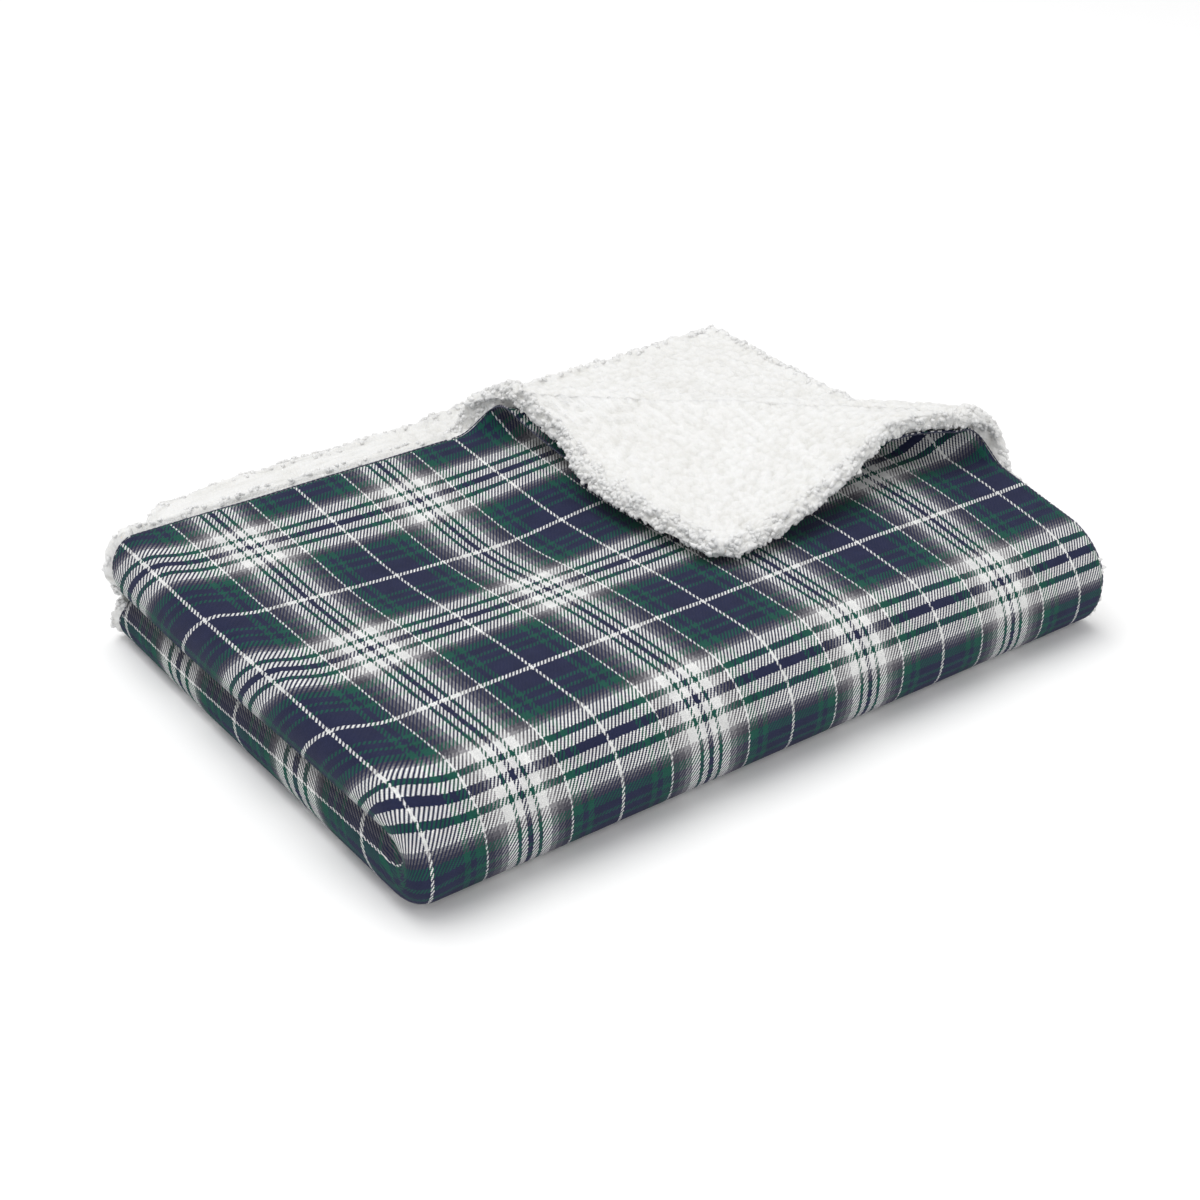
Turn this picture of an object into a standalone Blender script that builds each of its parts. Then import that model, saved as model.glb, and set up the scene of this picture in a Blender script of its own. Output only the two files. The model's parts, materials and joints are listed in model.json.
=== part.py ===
"""Camp blanket: a two-ply throw, folded in quarters, with the top layer's back right corner turned forward.

The face cloth is a plaid twill and the back is a sherpa pile, sewn together all round and turned right side out.
Folding once at the left and once at the front stacks four layers. From the top, layers one and two share the upper
fold at the left end, and layers three and four share the lower one. Layers one and four wrap round the front outside
layers two and three. Every piece is a flat pattern, cut to its outline and then laid round the folds.

Pattern terms: "along" runs from the left fold to the side edge, positive on layers one and four. "depth" runs from the
plaid side into the pile. The fold frame has x from the left fold, y from the front fold to the back and z from the
floor. The part stands on the middle of its own box.
"""

import math

import bmesh
import bpy
from mathutils import Matrix, Vector

# Driving dimensions, in metres.
HALF_LENGTH = 0.510  # left fold to side edge, along the cloth
HALF_WIDTH = 0.360  # front fold to back edge, along the cloth
LAYER = 0.0175  # one layer as it lies in the stack, and so the radius of a fold at the left end
FACE = 0.0012  # face cloth
PILE_OVERHANG = 0.009  # how far the pile puffs out past the edge of the face cloth
PILE_PARTING = 0.0008  # between the pile of two layers that face each other
CLEARANCE = 0.0003  # between neighbouring pieces
TURNED_CORNER = 0.175  # from where the turned corner's roll starts to the corner, along the cloth
CORNER_BLUNT = 0.004  # what a sewn and turned corner loses at its point
CREASE_HEADING = math.radians(46.5)  # direction, from +x towards +y, square to the crease
CREASE_RADIUS = 0.010  # inside radius of the turned corner's roll
SEAM_RADIUS = 0.0004  # edge seam, a lockstitch drawn down to a cord
CLOSING_LENGTH = 0.110  # opening left for turning the blanket right side out, sewn shut by hand
CLOSING_PITCH = 0.005
CLOSING_DEPTH = 0.003
CLOSING_RADIUS = 0.0003
CLOSING_FROM_SIDE = 0.220  # from the side edge to the middle of the closed opening
LABEL_WIDTH = 0.035
LABEL_LENGTH = 0.045
LABEL_THICKNESS = 0.0004
LABEL_FROM_SIDE = 0.400  # from the side edge to the middle of the care label
FOLD_STEPS = 12
ROLL_STEPS = 6  # in each half of the roll

# What follows from them.
QUARTER_TURN = math.pi / 2
FOLD_ARC = QUARTER_TURN * LAYER  # cloth taken by a quarter of a left-end fold
FOLD_Y = 2 * LAYER + CLEARANCE / 2  # axis of the front fold
FOLD_Z = 2 * LAYER + CLEARANCE / 2
UPPER_FOLD_Z = FOLD_Z + CLEARANCE / 2 + LAYER
TOP_Z = UPPER_FOLD_Z + LAYER
SIDE_X = LAYER + HALF_LENGTH - FOLD_ARC
PILE_TOP = FACE + CLEARANCE  # depth where the pile's backing starts
PILE_END = LAYER - PILE_PARTING / 2
SEAM_OFFSET = CLEARANCE + SEAM_RADIUS
SEAM_DEPTH = FACE / 2


def section(along, depth):
    """Upper half seen from the side: (x, z) of a point of the cloth, where it follows the upper left fold."""
    if abs(along) <= FOLD_ARC:
        angle = along / LAYER
        radius = LAYER - depth
        return LAYER - radius * math.cos(angle), UPPER_FOLD_Z + radius * math.sin(angle)
    side = math.copysign(1, along)
    return LAYER + abs(along) - FOLD_ARC, UPPER_FOLD_Z + side * (LAYER - depth)


def back_edge(along):
    """y of the back edge: the further out a layer lies round the front fold, the more cloth that fold takes."""
    wrap_radius = section(along, 0)[1] - FOLD_Z
    return FOLD_Y + HALF_WIDTH - QUARTER_TURN * wrap_radius


def back_slope(along):
    """How fast the back edge moves back along the cloth, which is only round the left fold."""
    if abs(along) > FOLD_ARC:
        return 0.0
    return -QUARTER_TURN * math.cos(along / LAYER)


def in_upper_half(along, reach, depth, overhang=0.0):
    """A point of layers one and two; reach is 0 at the front fold and 1 at the back edge."""
    x, z = section(along, depth)
    front = FOLD_Y + CLEARANCE
    length = back_edge(along) + overhang - front
    return Vector((x, front + reach * length, z))


def in_lower_half(along, reach, depth, overhang=0.0):
    """The same point of layers three and four, which mirror the upper half."""
    point = in_upper_half(along, reach, depth, overhang)
    return Vector((point.x, point.y, 2 * FOLD_Z - point.z))


def in_front_fold(along, turn, depth):
    """A point of the front fold; turn is 0 where it leaves the upper half and 1 where it joins the lower one."""
    x, z = section(along, depth)
    angle = turn * math.pi
    radius = z - FOLD_Z
    return Vector((x, FOLD_Y - radius * math.sin(angle), FOLD_Z + radius * math.cos(angle)))


# The turned corner has its own pattern terms: "past" is the distance past the start of the roll, towards the
# corner, and "across" runs along the crease, from the back edge at 0 to the side edge at 1.
SQUARE_TO_CREASE = Vector((math.cos(CREASE_HEADING), math.sin(CREASE_HEADING), 0))
ALONG_CREASE = Vector((math.sin(CREASE_HEADING), -math.cos(CREASE_HEADING), 0))
CORNER = Vector((SIDE_X, back_edge(HALF_LENGTH), 0))
ROLL_START = CORNER - TURNED_CORNER * SQUARE_TO_CREASE
TIP = TURNED_CORNER - CORNER_BLUNT


def resting_turn():
    """Angle of the roll that brings the turned corner's tip down onto layer one."""
    low, high = math.pi, 1.5 * math.pi
    for _ in range(50):
        turn = (low + high) / 2
        past_roll = TIP - CREASE_RADIUS * turn
        height = CREASE_RADIUS * (1 - math.cos(turn)) + past_roll * math.sin(turn)
        if height > CLEARANCE:
            low = turn
        else:
            high = turn
    return low


ROLL_TURN = resting_turn()
ROLL_LENGTH = CREASE_RADIUS * ROLL_TURN


def along_at_edges(past, outset):
    """Places along the crease, at that distance past it, of the back edge and of the side edge, moved outward."""
    back = (outset - past * math.sin(CREASE_HEADING) + TURNED_CORNER * math.sin(CREASE_HEADING))
    side = (outset - past * math.cos(CREASE_HEADING) + TURNED_CORNER * math.cos(CREASE_HEADING))
    return -back / math.cos(CREASE_HEADING), side / math.sin(CREASE_HEADING)


def off_crease(past, depth):
    """Distance square to the crease and height of a point of the roll or of the turned corner beyond it."""
    turn = min(past / CREASE_RADIUS, ROLL_TURN)
    beyond = max(past - ROLL_LENGTH, 0)
    radius = CREASE_RADIUS + depth
    out = radius * math.sin(turn) + beyond * math.cos(turn)
    height = TOP_Z + CREASE_RADIUS - radius * math.cos(turn) + beyond * math.sin(turn)
    return out, height


def in_turned_corner(past, across, depth, outset=0.0):
    """A point of the crease roll or of the turned corner."""
    back, side = along_at_edges(past, outset)
    out, height = off_crease(past, depth)
    point = ROLL_START + out * SQUARE_TO_CREASE + (back + across * (side - back)) * ALONG_CREASE
    return Vector((point.x, point.y, height))


def turning_point(start, flat, turn):
    """Point about which a turn takes one point of the crease's side view to where it lies with the cloth flat."""
    shift = flat - start
    return (start + flat) / 2 - Vector((-shift.y, shift.x)) / (2 * math.tan(turn / 2))


def corner_pivots():
    """Axes of the two hinges that unroll the turned corner: half of the roll opens about each of them.

    They lie where the cloth of the roll comes out at its full length once the corner lies back.
    """
    half_turn = ROLL_TURN / 2
    middle = Vector(off_crease(ROLL_LENGTH / 2, 0))
    end = Vector(off_crease(ROLL_LENGTH, 0))
    straight_on = middle + ROLL_LENGTH / 2 * Vector((math.cos(half_turn), math.sin(half_turn)))
    first = turning_point(middle, Vector((ROLL_LENGTH / 2, TOP_Z)), half_turn)
    second = turning_point(end, straight_on, half_turn)
    pivots = []
    for out, height in (first, second):
        point = ROLL_START + out * SQUARE_TO_CREASE
        pivots.append(Vector((point.x, point.y, height)))
    return pivots


def stations(low, high, steps):
    """Evenly spaced values between two ends, without the ends."""
    return [low + (high - low) * step / steps for step in range(1, steps)]


FOLD_STATIONS = [-FOLD_ARC, *stations(-FOLD_ARC, FOLD_ARC, FOLD_STEPS), FOLD_ARC]
ROLL_HALVES = (
    ("lower", 0.0, ROLL_LENGTH / 2 - CLEARANCE / 2),
    ("upper", ROLL_LENGTH / 2 + CLEARANCE / 2, ROLL_LENGTH),
)


def new_material(name, colour, roughness):
    """Plain cloth or thread."""
    material = bpy.data.materials.new(name)
    material.use_nodes = True
    shader = material.node_tree.nodes["Principled BSDF"]
    shader.inputs["Base Color"].default_value = (*colour, 1)
    shader.inputs["Roughness"].default_value = roughness
    shader.inputs["Metallic"].default_value = 0
    return material


def add_part(name, data, finish, home):
    """Puts a mesh or curve in the blanket's collection, with its own material."""
    part = bpy.data.objects.new(name, data)
    data.materials.append(new_material(name, *finish))
    home.objects.link(part)
    return part


def add_slab(name, low, high, cuts, place, finish, home):
    """A slab of cloth: a box in pattern terms, given edge loops at the cuts, then laid in place."""
    shape = bmesh.new()
    bmesh.ops.create_cube(shape, size=1)
    low, high = Vector(low), Vector(high)
    for vertex in shape.verts:
        share = vertex.co + Vector((0.5, 0.5, 0.5))
        vertex.co = [start + part * (end - start) for start, end, part in zip(low, high, share)]
    for axis, values in enumerate(cuts):
        normal = Vector((axis == 0, axis == 1, axis == 2))
        for value in values:
            everything = shape.verts[:] + shape.edges[:] + shape.faces[:]
            bmesh.ops.bisect_plane(shape, geom=everything, dist=1e-7, plane_co=normal * value, plane_no=normal)
    for vertex in shape.verts:
        vertex.co = place(*vertex.co)
    if shape.calc_volume(signed=True) < 0:
        bmesh.ops.reverse_faces(shape, faces=shape.faces)
    data = bpy.data.meshes.new(name)
    shape.to_mesh(data)
    shape.free()
    return add_part(name, data, finish, home)


def add_thread(name, points, radius, finish, home):
    """Thread along a row of points."""
    data = bpy.data.curves.new(name, "CURVE")
    data.dimensions = "3D"
    data.bevel_depth = radius
    data.bevel_resolution = 2
    data.use_fill_caps = True
    spline = data.splines.new("POLY")
    spline.points.add(len(points) - 1)
    for target, point in zip(spline.points, points):
        target.co = (*point, 1)
    return add_part(name, data, finish, home)


PLAID = ((0.045, 0.075, 0.095), 0.9)
FLEECE = ((0.86, 0.85, 0.81), 0.95)
THREAD = ((0.03, 0.035, 0.07), 0.8)
SATIN = ((0.88, 0.87, 0.84), 0.45)


def add_half(name, layers, place, home):
    """One half of the stack. Face cloth and pile each come as two flat layers and the left fold between them."""

    def place_pile(along, reach, depth):
        return place(along, reach, depth, PILE_OVERHANG)

    parts = []
    flat = FOLD_ARC + CLEARANCE
    for kind, overhang, top, bottom, laid, finish in (
        ("face_cloth", 0.0, 0.0, FACE, place, PLAID),
        ("sherpa", PILE_OVERHANG, PILE_TOP, PILE_END, place_pile, FLEECE),
    ):
        side = HALF_LENGTH + overhang
        for part, start, end, cuts in (
            (layers[0], flat, side, []),
            (layers[1], -side, -flat, []),
            (f"{name}_left_fold", -FOLD_ARC, FOLD_ARC, FOLD_STATIONS[1:-1]),
        ):
            low, high = (start, 0, top), (end, 1, bottom)
            parts.append(add_slab(f"{kind}_{part}", low, high, (cuts, [], []), laid, finish, home))
    return parts


def add_front_fold(home):
    """Face cloth and pile where all four layers wrap round the front."""
    turns = stations(0, 1, FOLD_STEPS)
    add_slab(
        "face_cloth_front_fold", (-HALF_LENGTH, 0, 0), (HALF_LENGTH, 1, FACE), (FOLD_STATIONS, turns, []),
        in_front_fold, PLAID, home,
    )
    side = HALF_LENGTH + PILE_OVERHANG
    add_slab(
        "sherpa_front_fold", (-side, 0, PILE_TOP), (side, 1, PILE_END), (FOLD_STATIONS, turns, []),
        in_front_fold, FLEECE, home,
    )


def cut_corner_away(parts, cutters):
    """Takes from layer one what the roll and the turned corner use."""
    size = 2 * (HALF_LENGTH + HALF_WIDTH)
    bpy.ops.mesh.primitive_cube_add(size=1)
    cutter = bpy.context.object
    cutter.name = "corner_cutter"
    cutter.data.transform(Matrix.Diagonal((size, size, LAYER + CLEARANCE, 1)))
    cutter.rotation_euler.z = CREASE_HEADING
    middle = ROLL_START + (size / 2 - CLEARANCE) * SQUARE_TO_CREASE
    cutter.location = (middle.x, middle.y, UPPER_FOLD_Z + (LAYER + CLEARANCE) / 2)
    cutter.display_type = "WIRE"
    cutter.hide_render = True
    for collection in list(cutter.users_collection):
        collection.objects.unlink(cutter)
    cutters.objects.link(cutter)
    for part in parts:
        cut = part.modifiers.new("turned corner", "BOOLEAN")
        cut.operation = "DIFFERENCE"
        cut.solver = "EXACT"
        cut.object = cutter
    return cutter


def in_corner_pile(past, across, depth):
    """A point of the pile on the roll or the turned corner, which stands out past the edges of the face cloth."""
    return in_turned_corner(past, across, depth, PILE_OVERHANG)


def add_crease_roll(home):
    """Face cloth and pile of the roll, in the two halves that open one after the other."""
    for name, start, end in ROLL_HALVES:
        cuts = (stations(start, end, ROLL_STEPS), [], [])
        add_slab(
            f"face_cloth_crease_{name}", (start, 0, 0), (end, 1, FACE), cuts, in_turned_corner, PLAID, home
        )
        add_slab(
            f"sherpa_crease_{name}", (start, 0, PILE_TOP), (end, 1, PILE_END), cuts, in_corner_pile, FLEECE, home
        )


def add_turned_corner(home):
    """Face cloth and pile of the corner beyond the roll."""
    after = ROLL_LENGTH + CLEARANCE
    cuts = ([], [], [])
    face = add_slab("face_cloth_corner", (after, 0, 0), (TIP, 1, FACE), cuts, in_turned_corner, PLAID, home)
    pile = add_slab(
        "sherpa_corner", (after, 0, PILE_TOP), (TIP + PILE_OVERHANG, 1, PILE_END), cuts,
        in_corner_pile, FLEECE, home,
    )
    return face, pile


def back_seam(start, end, place):
    """Points of the edge seam along the back edge, from one place along the cloth to another."""
    inner = [value for value in FOLD_STATIONS if min(start, end) < value < max(start, end)]
    values = sorted([start, *inner, end], reverse=start > end)
    points = []
    for along in values:
        outset = SEAM_OFFSET * math.hypot(1, back_slope(along))
        points.append(place(along, 1, SEAM_DEPTH, outset))
    return points


def side_seam(along, place):
    """Front end of the edge seam on the side edge of a layer."""
    return place(along, 0, SEAM_DEPTH)


def crease_meets_edges():
    """Where the start of the roll meets the back edge, as a place along the cloth, and the side edge, as its y."""
    back, side = along_at_edges(0, SEAM_OFFSET)
    at_back = ROLL_START + back * ALONG_CREASE
    at_side = ROLL_START + side * ALONG_CREASE
    return at_back.x - LAYER + FOLD_ARC, at_side.y


def add_edge_seams(home):
    """Edge seam of each half, of the front fold and of the turned corner. Returns (upper, corner) seams."""
    side = HALF_LENGTH + SEAM_OFFSET
    crease_along, crease_y = crease_meets_edges()
    lower = [side_seam(side, in_lower_half)]
    lower += back_seam(side, -side, in_lower_half)
    lower.append(side_seam(-side, in_lower_half))
    add_thread("edge_seam_lower", lower, SEAM_RADIUS, THREAD, home)

    back = back_seam(crease_along - CLEARANCE - SEAM_RADIUS, -side, in_upper_half)
    back.append(side_seam(-side, in_upper_half))
    upper_back = add_thread("edge_seam_upper_back", back, SEAM_RADIUS, THREAD, home)
    front_end = side_seam(side, in_upper_half)
    crease_end = Vector((front_end.x, crease_y - CLEARANCE - SEAM_RADIUS, front_end.z))
    upper_side = add_thread("edge_seam_upper_side", [front_end, crease_end], SEAM_RADIUS, THREAD, home)

    for name, along in (("outer", side), ("inner", -side)):
        wrap = [in_front_fold(along, turn, SEAM_DEPTH) for turn in (0, *stations(0, 1, FOLD_STEPS), 1)]
        add_thread(f"edge_seam_front_{name}", wrap, SEAM_RADIUS, THREAD, home)

    for edge, across in (("back", 0), ("side", 1)):
        for half, start, end in ROLL_HALVES:
            roll = [
                in_turned_corner(past, across, SEAM_DEPTH, SEAM_OFFSET)
                for past in (start, *stations(start, end, ROLL_STEPS), end)
            ]
            add_thread(f"edge_seam_crease_{edge}_{half}", roll, SEAM_RADIUS, THREAD, home)

    after = ROLL_LENGTH + CLEARANCE + SEAM_RADIUS
    tip = TIP + SEAM_OFFSET
    around = [
        in_turned_corner(past, across, SEAM_DEPTH, SEAM_OFFSET)
        for past, across in ((after, 0), (tip, 0), (tip, 1), (after, 1))
    ]
    corner = add_thread("edge_seam_corner", around, SEAM_RADIUS, THREAD, home)
    return [upper_back, upper_side], [corner]


def add_closing_stitch(home):
    """Hand stitch that closes the turning opening, a zigzag between the edge seam and the pile of layer four."""
    near = back_edge(HALF_LENGTH) + 2 * SEAM_OFFSET + CLOSING_RADIUS
    middle = SIDE_X - CLOSING_FROM_SIDE
    count = round(CLOSING_LENGTH / CLOSING_PITCH)
    points = []
    for step in range(count + 1):
        x = middle + (step - count / 2) * CLOSING_PITCH
        points.append(Vector((x, near + CLOSING_DEPTH * (step % 2), SEAM_DEPTH)))
    add_thread("closing_stitch", points, CLOSING_RADIUS, THREAD, home)


def add_care_label(home):
    """Blank label caught in the back seam of layer four."""
    bpy.ops.mesh.primitive_cube_add(size=1)
    label = bpy.context.object
    label.name = "care_label"
    label.data.transform(Matrix.Diagonal((LABEL_WIDTH, LABEL_LENGTH, LABEL_THICKNESS, 1)))
    near = back_edge(HALF_LENGTH) + SEAM_OFFSET + SEAM_RADIUS + CLEARANCE
    label.location = (SIDE_X - LABEL_FROM_SIDE, near + LABEL_LENGTH / 2, CLEARANCE + LABEL_THICKNESS / 2)
    label.data.materials.append(new_material("care_label", *SATIN))
    for collection in list(label.users_collection):
        collection.objects.unlink(label)
    home.objects.link(label)


def add_axis(name, location, parent, home):
    """Empty on a joint's axis, which carries what turns about it."""
    empty = bpy.data.objects.new(name, None)
    home.objects.link(empty)
    empty.parent = parent
    empty.location = location - (parent.matrix_world.translation if parent else Vector())
    bpy.context.view_layer.update()
    return empty


def carry(parts, carrier):
    """Hangs parts on an empty and leaves them where they are."""
    for part in parts:
        part.parent = carrier
        part.matrix_parent_inverse = carrier.matrix_world.inverted()


def stand_on_origin(ground, home):
    """Moves the whole blanket so that the middle of its box's underside is the origin."""
    graph = bpy.context.evaluated_depsgraph_get()
    corners = []
    for part in home.objects:
        if part.type == "EMPTY":
            continue
        shown = part.evaluated_get(graph)
        corners += [shown.matrix_world @ Vector(corner) for corner in shown.bound_box]
    middle = [(min(values) + max(values)) / 2 for values in zip(*corners)]
    ground.location = (-middle[0], -middle[1], 0)
    bpy.context.view_layer.update()


def clear_scene():
    """Removes the startup objects."""
    for item in list(bpy.data.objects):
        bpy.data.objects.remove(item)


def main():
    """Builds the folded blanket."""
    clear_scene()
    home = bpy.data.collections.new("camp_blanket")
    cutters = bpy.data.collections.new("cutters")
    for collection in (home, cutters):
        bpy.context.scene.collection.children.link(collection)

    add_half("lower", ("layer_four", "layer_three"), in_lower_half, home)
    upper = add_half("upper", ("layer_one", "layer_two"), in_upper_half, home)
    add_front_fold(home)
    layer_one = [part for part in upper if part.name.endswith("layer_one")]
    cutter = cut_corner_away(layer_one, cutters)
    add_crease_roll(home)
    corner = add_turned_corner(home)
    upper_seams, corner_seams = add_edge_seams(home)
    add_closing_stitch(home)
    add_care_label(home)

    ground = add_axis("blanket_base", Vector(), None, home)
    front_axis = add_axis("front_fold_axis", Vector((SIDE_X / 2, FOLD_Y, FOLD_Z)), ground, home)
    first_pivot, second_pivot = corner_pivots()
    roll_axis = add_axis("crease_roll_axis", first_pivot, front_axis, home)
    corner_axis = add_axis("turned_corner_axis", second_pivot, roll_axis, home)
    carry([*upper, *upper_seams, cutter], front_axis)
    crease = [part for part in home.objects if "_crease_" in part.name]
    carry([part for part in crease if part.name.endswith("_lower")], front_axis)
    carry([part for part in crease if part.name.endswith("_upper")], roll_axis)
    carry([*corner, *corner_seams], corner_axis)
    carry([part for part in home.objects if part.parent is None and part is not ground], ground)
    stand_on_origin(ground, home)


main()
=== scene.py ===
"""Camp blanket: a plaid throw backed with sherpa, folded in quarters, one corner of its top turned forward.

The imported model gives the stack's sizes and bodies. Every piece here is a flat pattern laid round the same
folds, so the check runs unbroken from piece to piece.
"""

from __future__ import annotations

import json
import logging
import math
from collections.abc import Callable, Sequence
from dataclasses import dataclass
from enum import Enum
from itertools import product
from typing import ClassVar

import bpy
import numpy as np
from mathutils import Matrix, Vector

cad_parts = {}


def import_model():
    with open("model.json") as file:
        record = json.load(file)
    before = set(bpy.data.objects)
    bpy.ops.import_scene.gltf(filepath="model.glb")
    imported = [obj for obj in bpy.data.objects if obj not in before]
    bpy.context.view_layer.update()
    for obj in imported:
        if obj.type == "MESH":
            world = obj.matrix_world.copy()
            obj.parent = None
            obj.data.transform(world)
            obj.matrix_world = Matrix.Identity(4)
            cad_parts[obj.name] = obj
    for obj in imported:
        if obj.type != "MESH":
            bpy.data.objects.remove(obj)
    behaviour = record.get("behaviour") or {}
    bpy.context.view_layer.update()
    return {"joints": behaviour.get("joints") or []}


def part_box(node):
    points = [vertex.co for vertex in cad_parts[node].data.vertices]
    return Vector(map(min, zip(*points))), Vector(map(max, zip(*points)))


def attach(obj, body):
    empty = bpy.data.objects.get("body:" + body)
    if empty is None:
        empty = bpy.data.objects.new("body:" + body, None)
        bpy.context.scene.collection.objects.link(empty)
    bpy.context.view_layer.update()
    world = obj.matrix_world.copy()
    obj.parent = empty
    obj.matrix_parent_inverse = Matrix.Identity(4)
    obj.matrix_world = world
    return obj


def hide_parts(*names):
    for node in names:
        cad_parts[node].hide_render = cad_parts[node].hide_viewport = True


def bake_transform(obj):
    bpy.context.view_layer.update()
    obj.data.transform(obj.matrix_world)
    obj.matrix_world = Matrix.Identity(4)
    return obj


log = logging.getLogger("camp_blanket")

Array = np.ndarray
Place = Callable[[Array, Array, Array], Array]
Socket = bpy.types.NodeSocket
Colour = tuple[float, float, float]


def eased(share: Array) -> Array:
    """Smooth step of a share, level at 0 and at 1."""
    share = np.clip(share, 0.0, 1.0)
    return share * share * (3.0 - 2.0 * share)


def ramp(value: Array, start: float, end: float) -> Array:
    """Eased share of the way that a value has gone from a start to an end."""
    return eased((value - start) / (end - start))


def unit(vectors: Array) -> Array:
    """Vectors made one long."""
    return vectors / np.maximum(np.linalg.norm(vectors, axis=-1, keepdims=True), 1e-12)


def graded(start: float, end: float, coarse: float, fine: float, near_start: float, near_end: float) -> Array:
    """Grid lines between two ends, close together near one or both of them.

    Args:
        start: First line.
        end: Last line.
        coarse: Spacing in the middle.
        fine: Spacing near the ends.
        near_start: How far the fine spacing reaches from the start.
        near_end: How far it reaches from the end.

    Returns:
        The lines, from start to end.
    """
    knots = [start, min(start + near_start, end), max(end - near_end, start), end]
    lines = [start]
    for low, high, step in zip(knots[:-1], knots[1:], (fine, coarse, fine)):
        if high - low > 1e-6:
            count = max(1, round((high - low) / step))
            lines.extend(low + (high - low) * np.arange(1, count + 1) / count)
    return np.array(lines)


def scrambled(cells: Array, seed: int) -> Array:
    """Three random shares for each whole-numbered cell, always the same ones."""
    x, y, z = (cells[:, k].astype(np.uint32) for k in range(3))
    mixed = x * np.uint32(73856093) ^ y * np.uint32(19349663) ^ z * np.uint32(83492791)
    mixed ^= np.uint32(seed * 7919)
    shares = []
    for _ in range(3):
        mixed ^= mixed >> np.uint32(15)
        mixed *= np.uint32(2246822519)
        mixed ^= mixed >> np.uint32(13)
        mixed *= np.uint32(3266489917)
        mixed ^= mixed >> np.uint32(16)
        shares.append((mixed & np.uint32(0xFFFFFF)).astype(float) / float(0xFFFFFF))
    return np.stack(shares, 1)


def lumps(points: Array, cell: float, seed: int) -> Array:
    """Rounded lumps that fill space: 1 on the crown of a lump, towards 0 in the crevices between them.

    Args:
        points: Places, one per row.
        cell: Typical width of a lump.
        seed: Chooses the arrangement.

    Returns:
        The height share at each point.
    """
    scaled = points / cell
    base = np.floor(scaled).astype(np.int64)
    nearest = np.full(len(points), 9.0)
    for step in product((-1, 0, 1), repeat=3):
        cells = base + step
        gap = cells + 0.15 + 0.7 * scrambled(cells, seed) - scaled  # a lump keeps off the sides of its cell
        nearest = np.minimum(nearest, (gap * gap).sum(1))
    return np.clip(1.0 - nearest / 0.62, 0.0, 1.0)  # 0 about four fifths of a cell away


def soft_noise(points: Array, cell: float, seed: int) -> Array:
    """Smooth noise between -1 and 1, about a cell wide."""
    scaled = points / cell
    base = np.floor(scaled).astype(np.int64)
    part = eased(scaled - base)
    total = np.zeros(len(points))
    for corner in product((0, 1), repeat=3):
        value = scrambled(base + corner, seed)[:, 0] * 2.0 - 1.0
        total += np.where(corner, part, 1.0 - part).prod(1) * value
    return total


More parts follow.
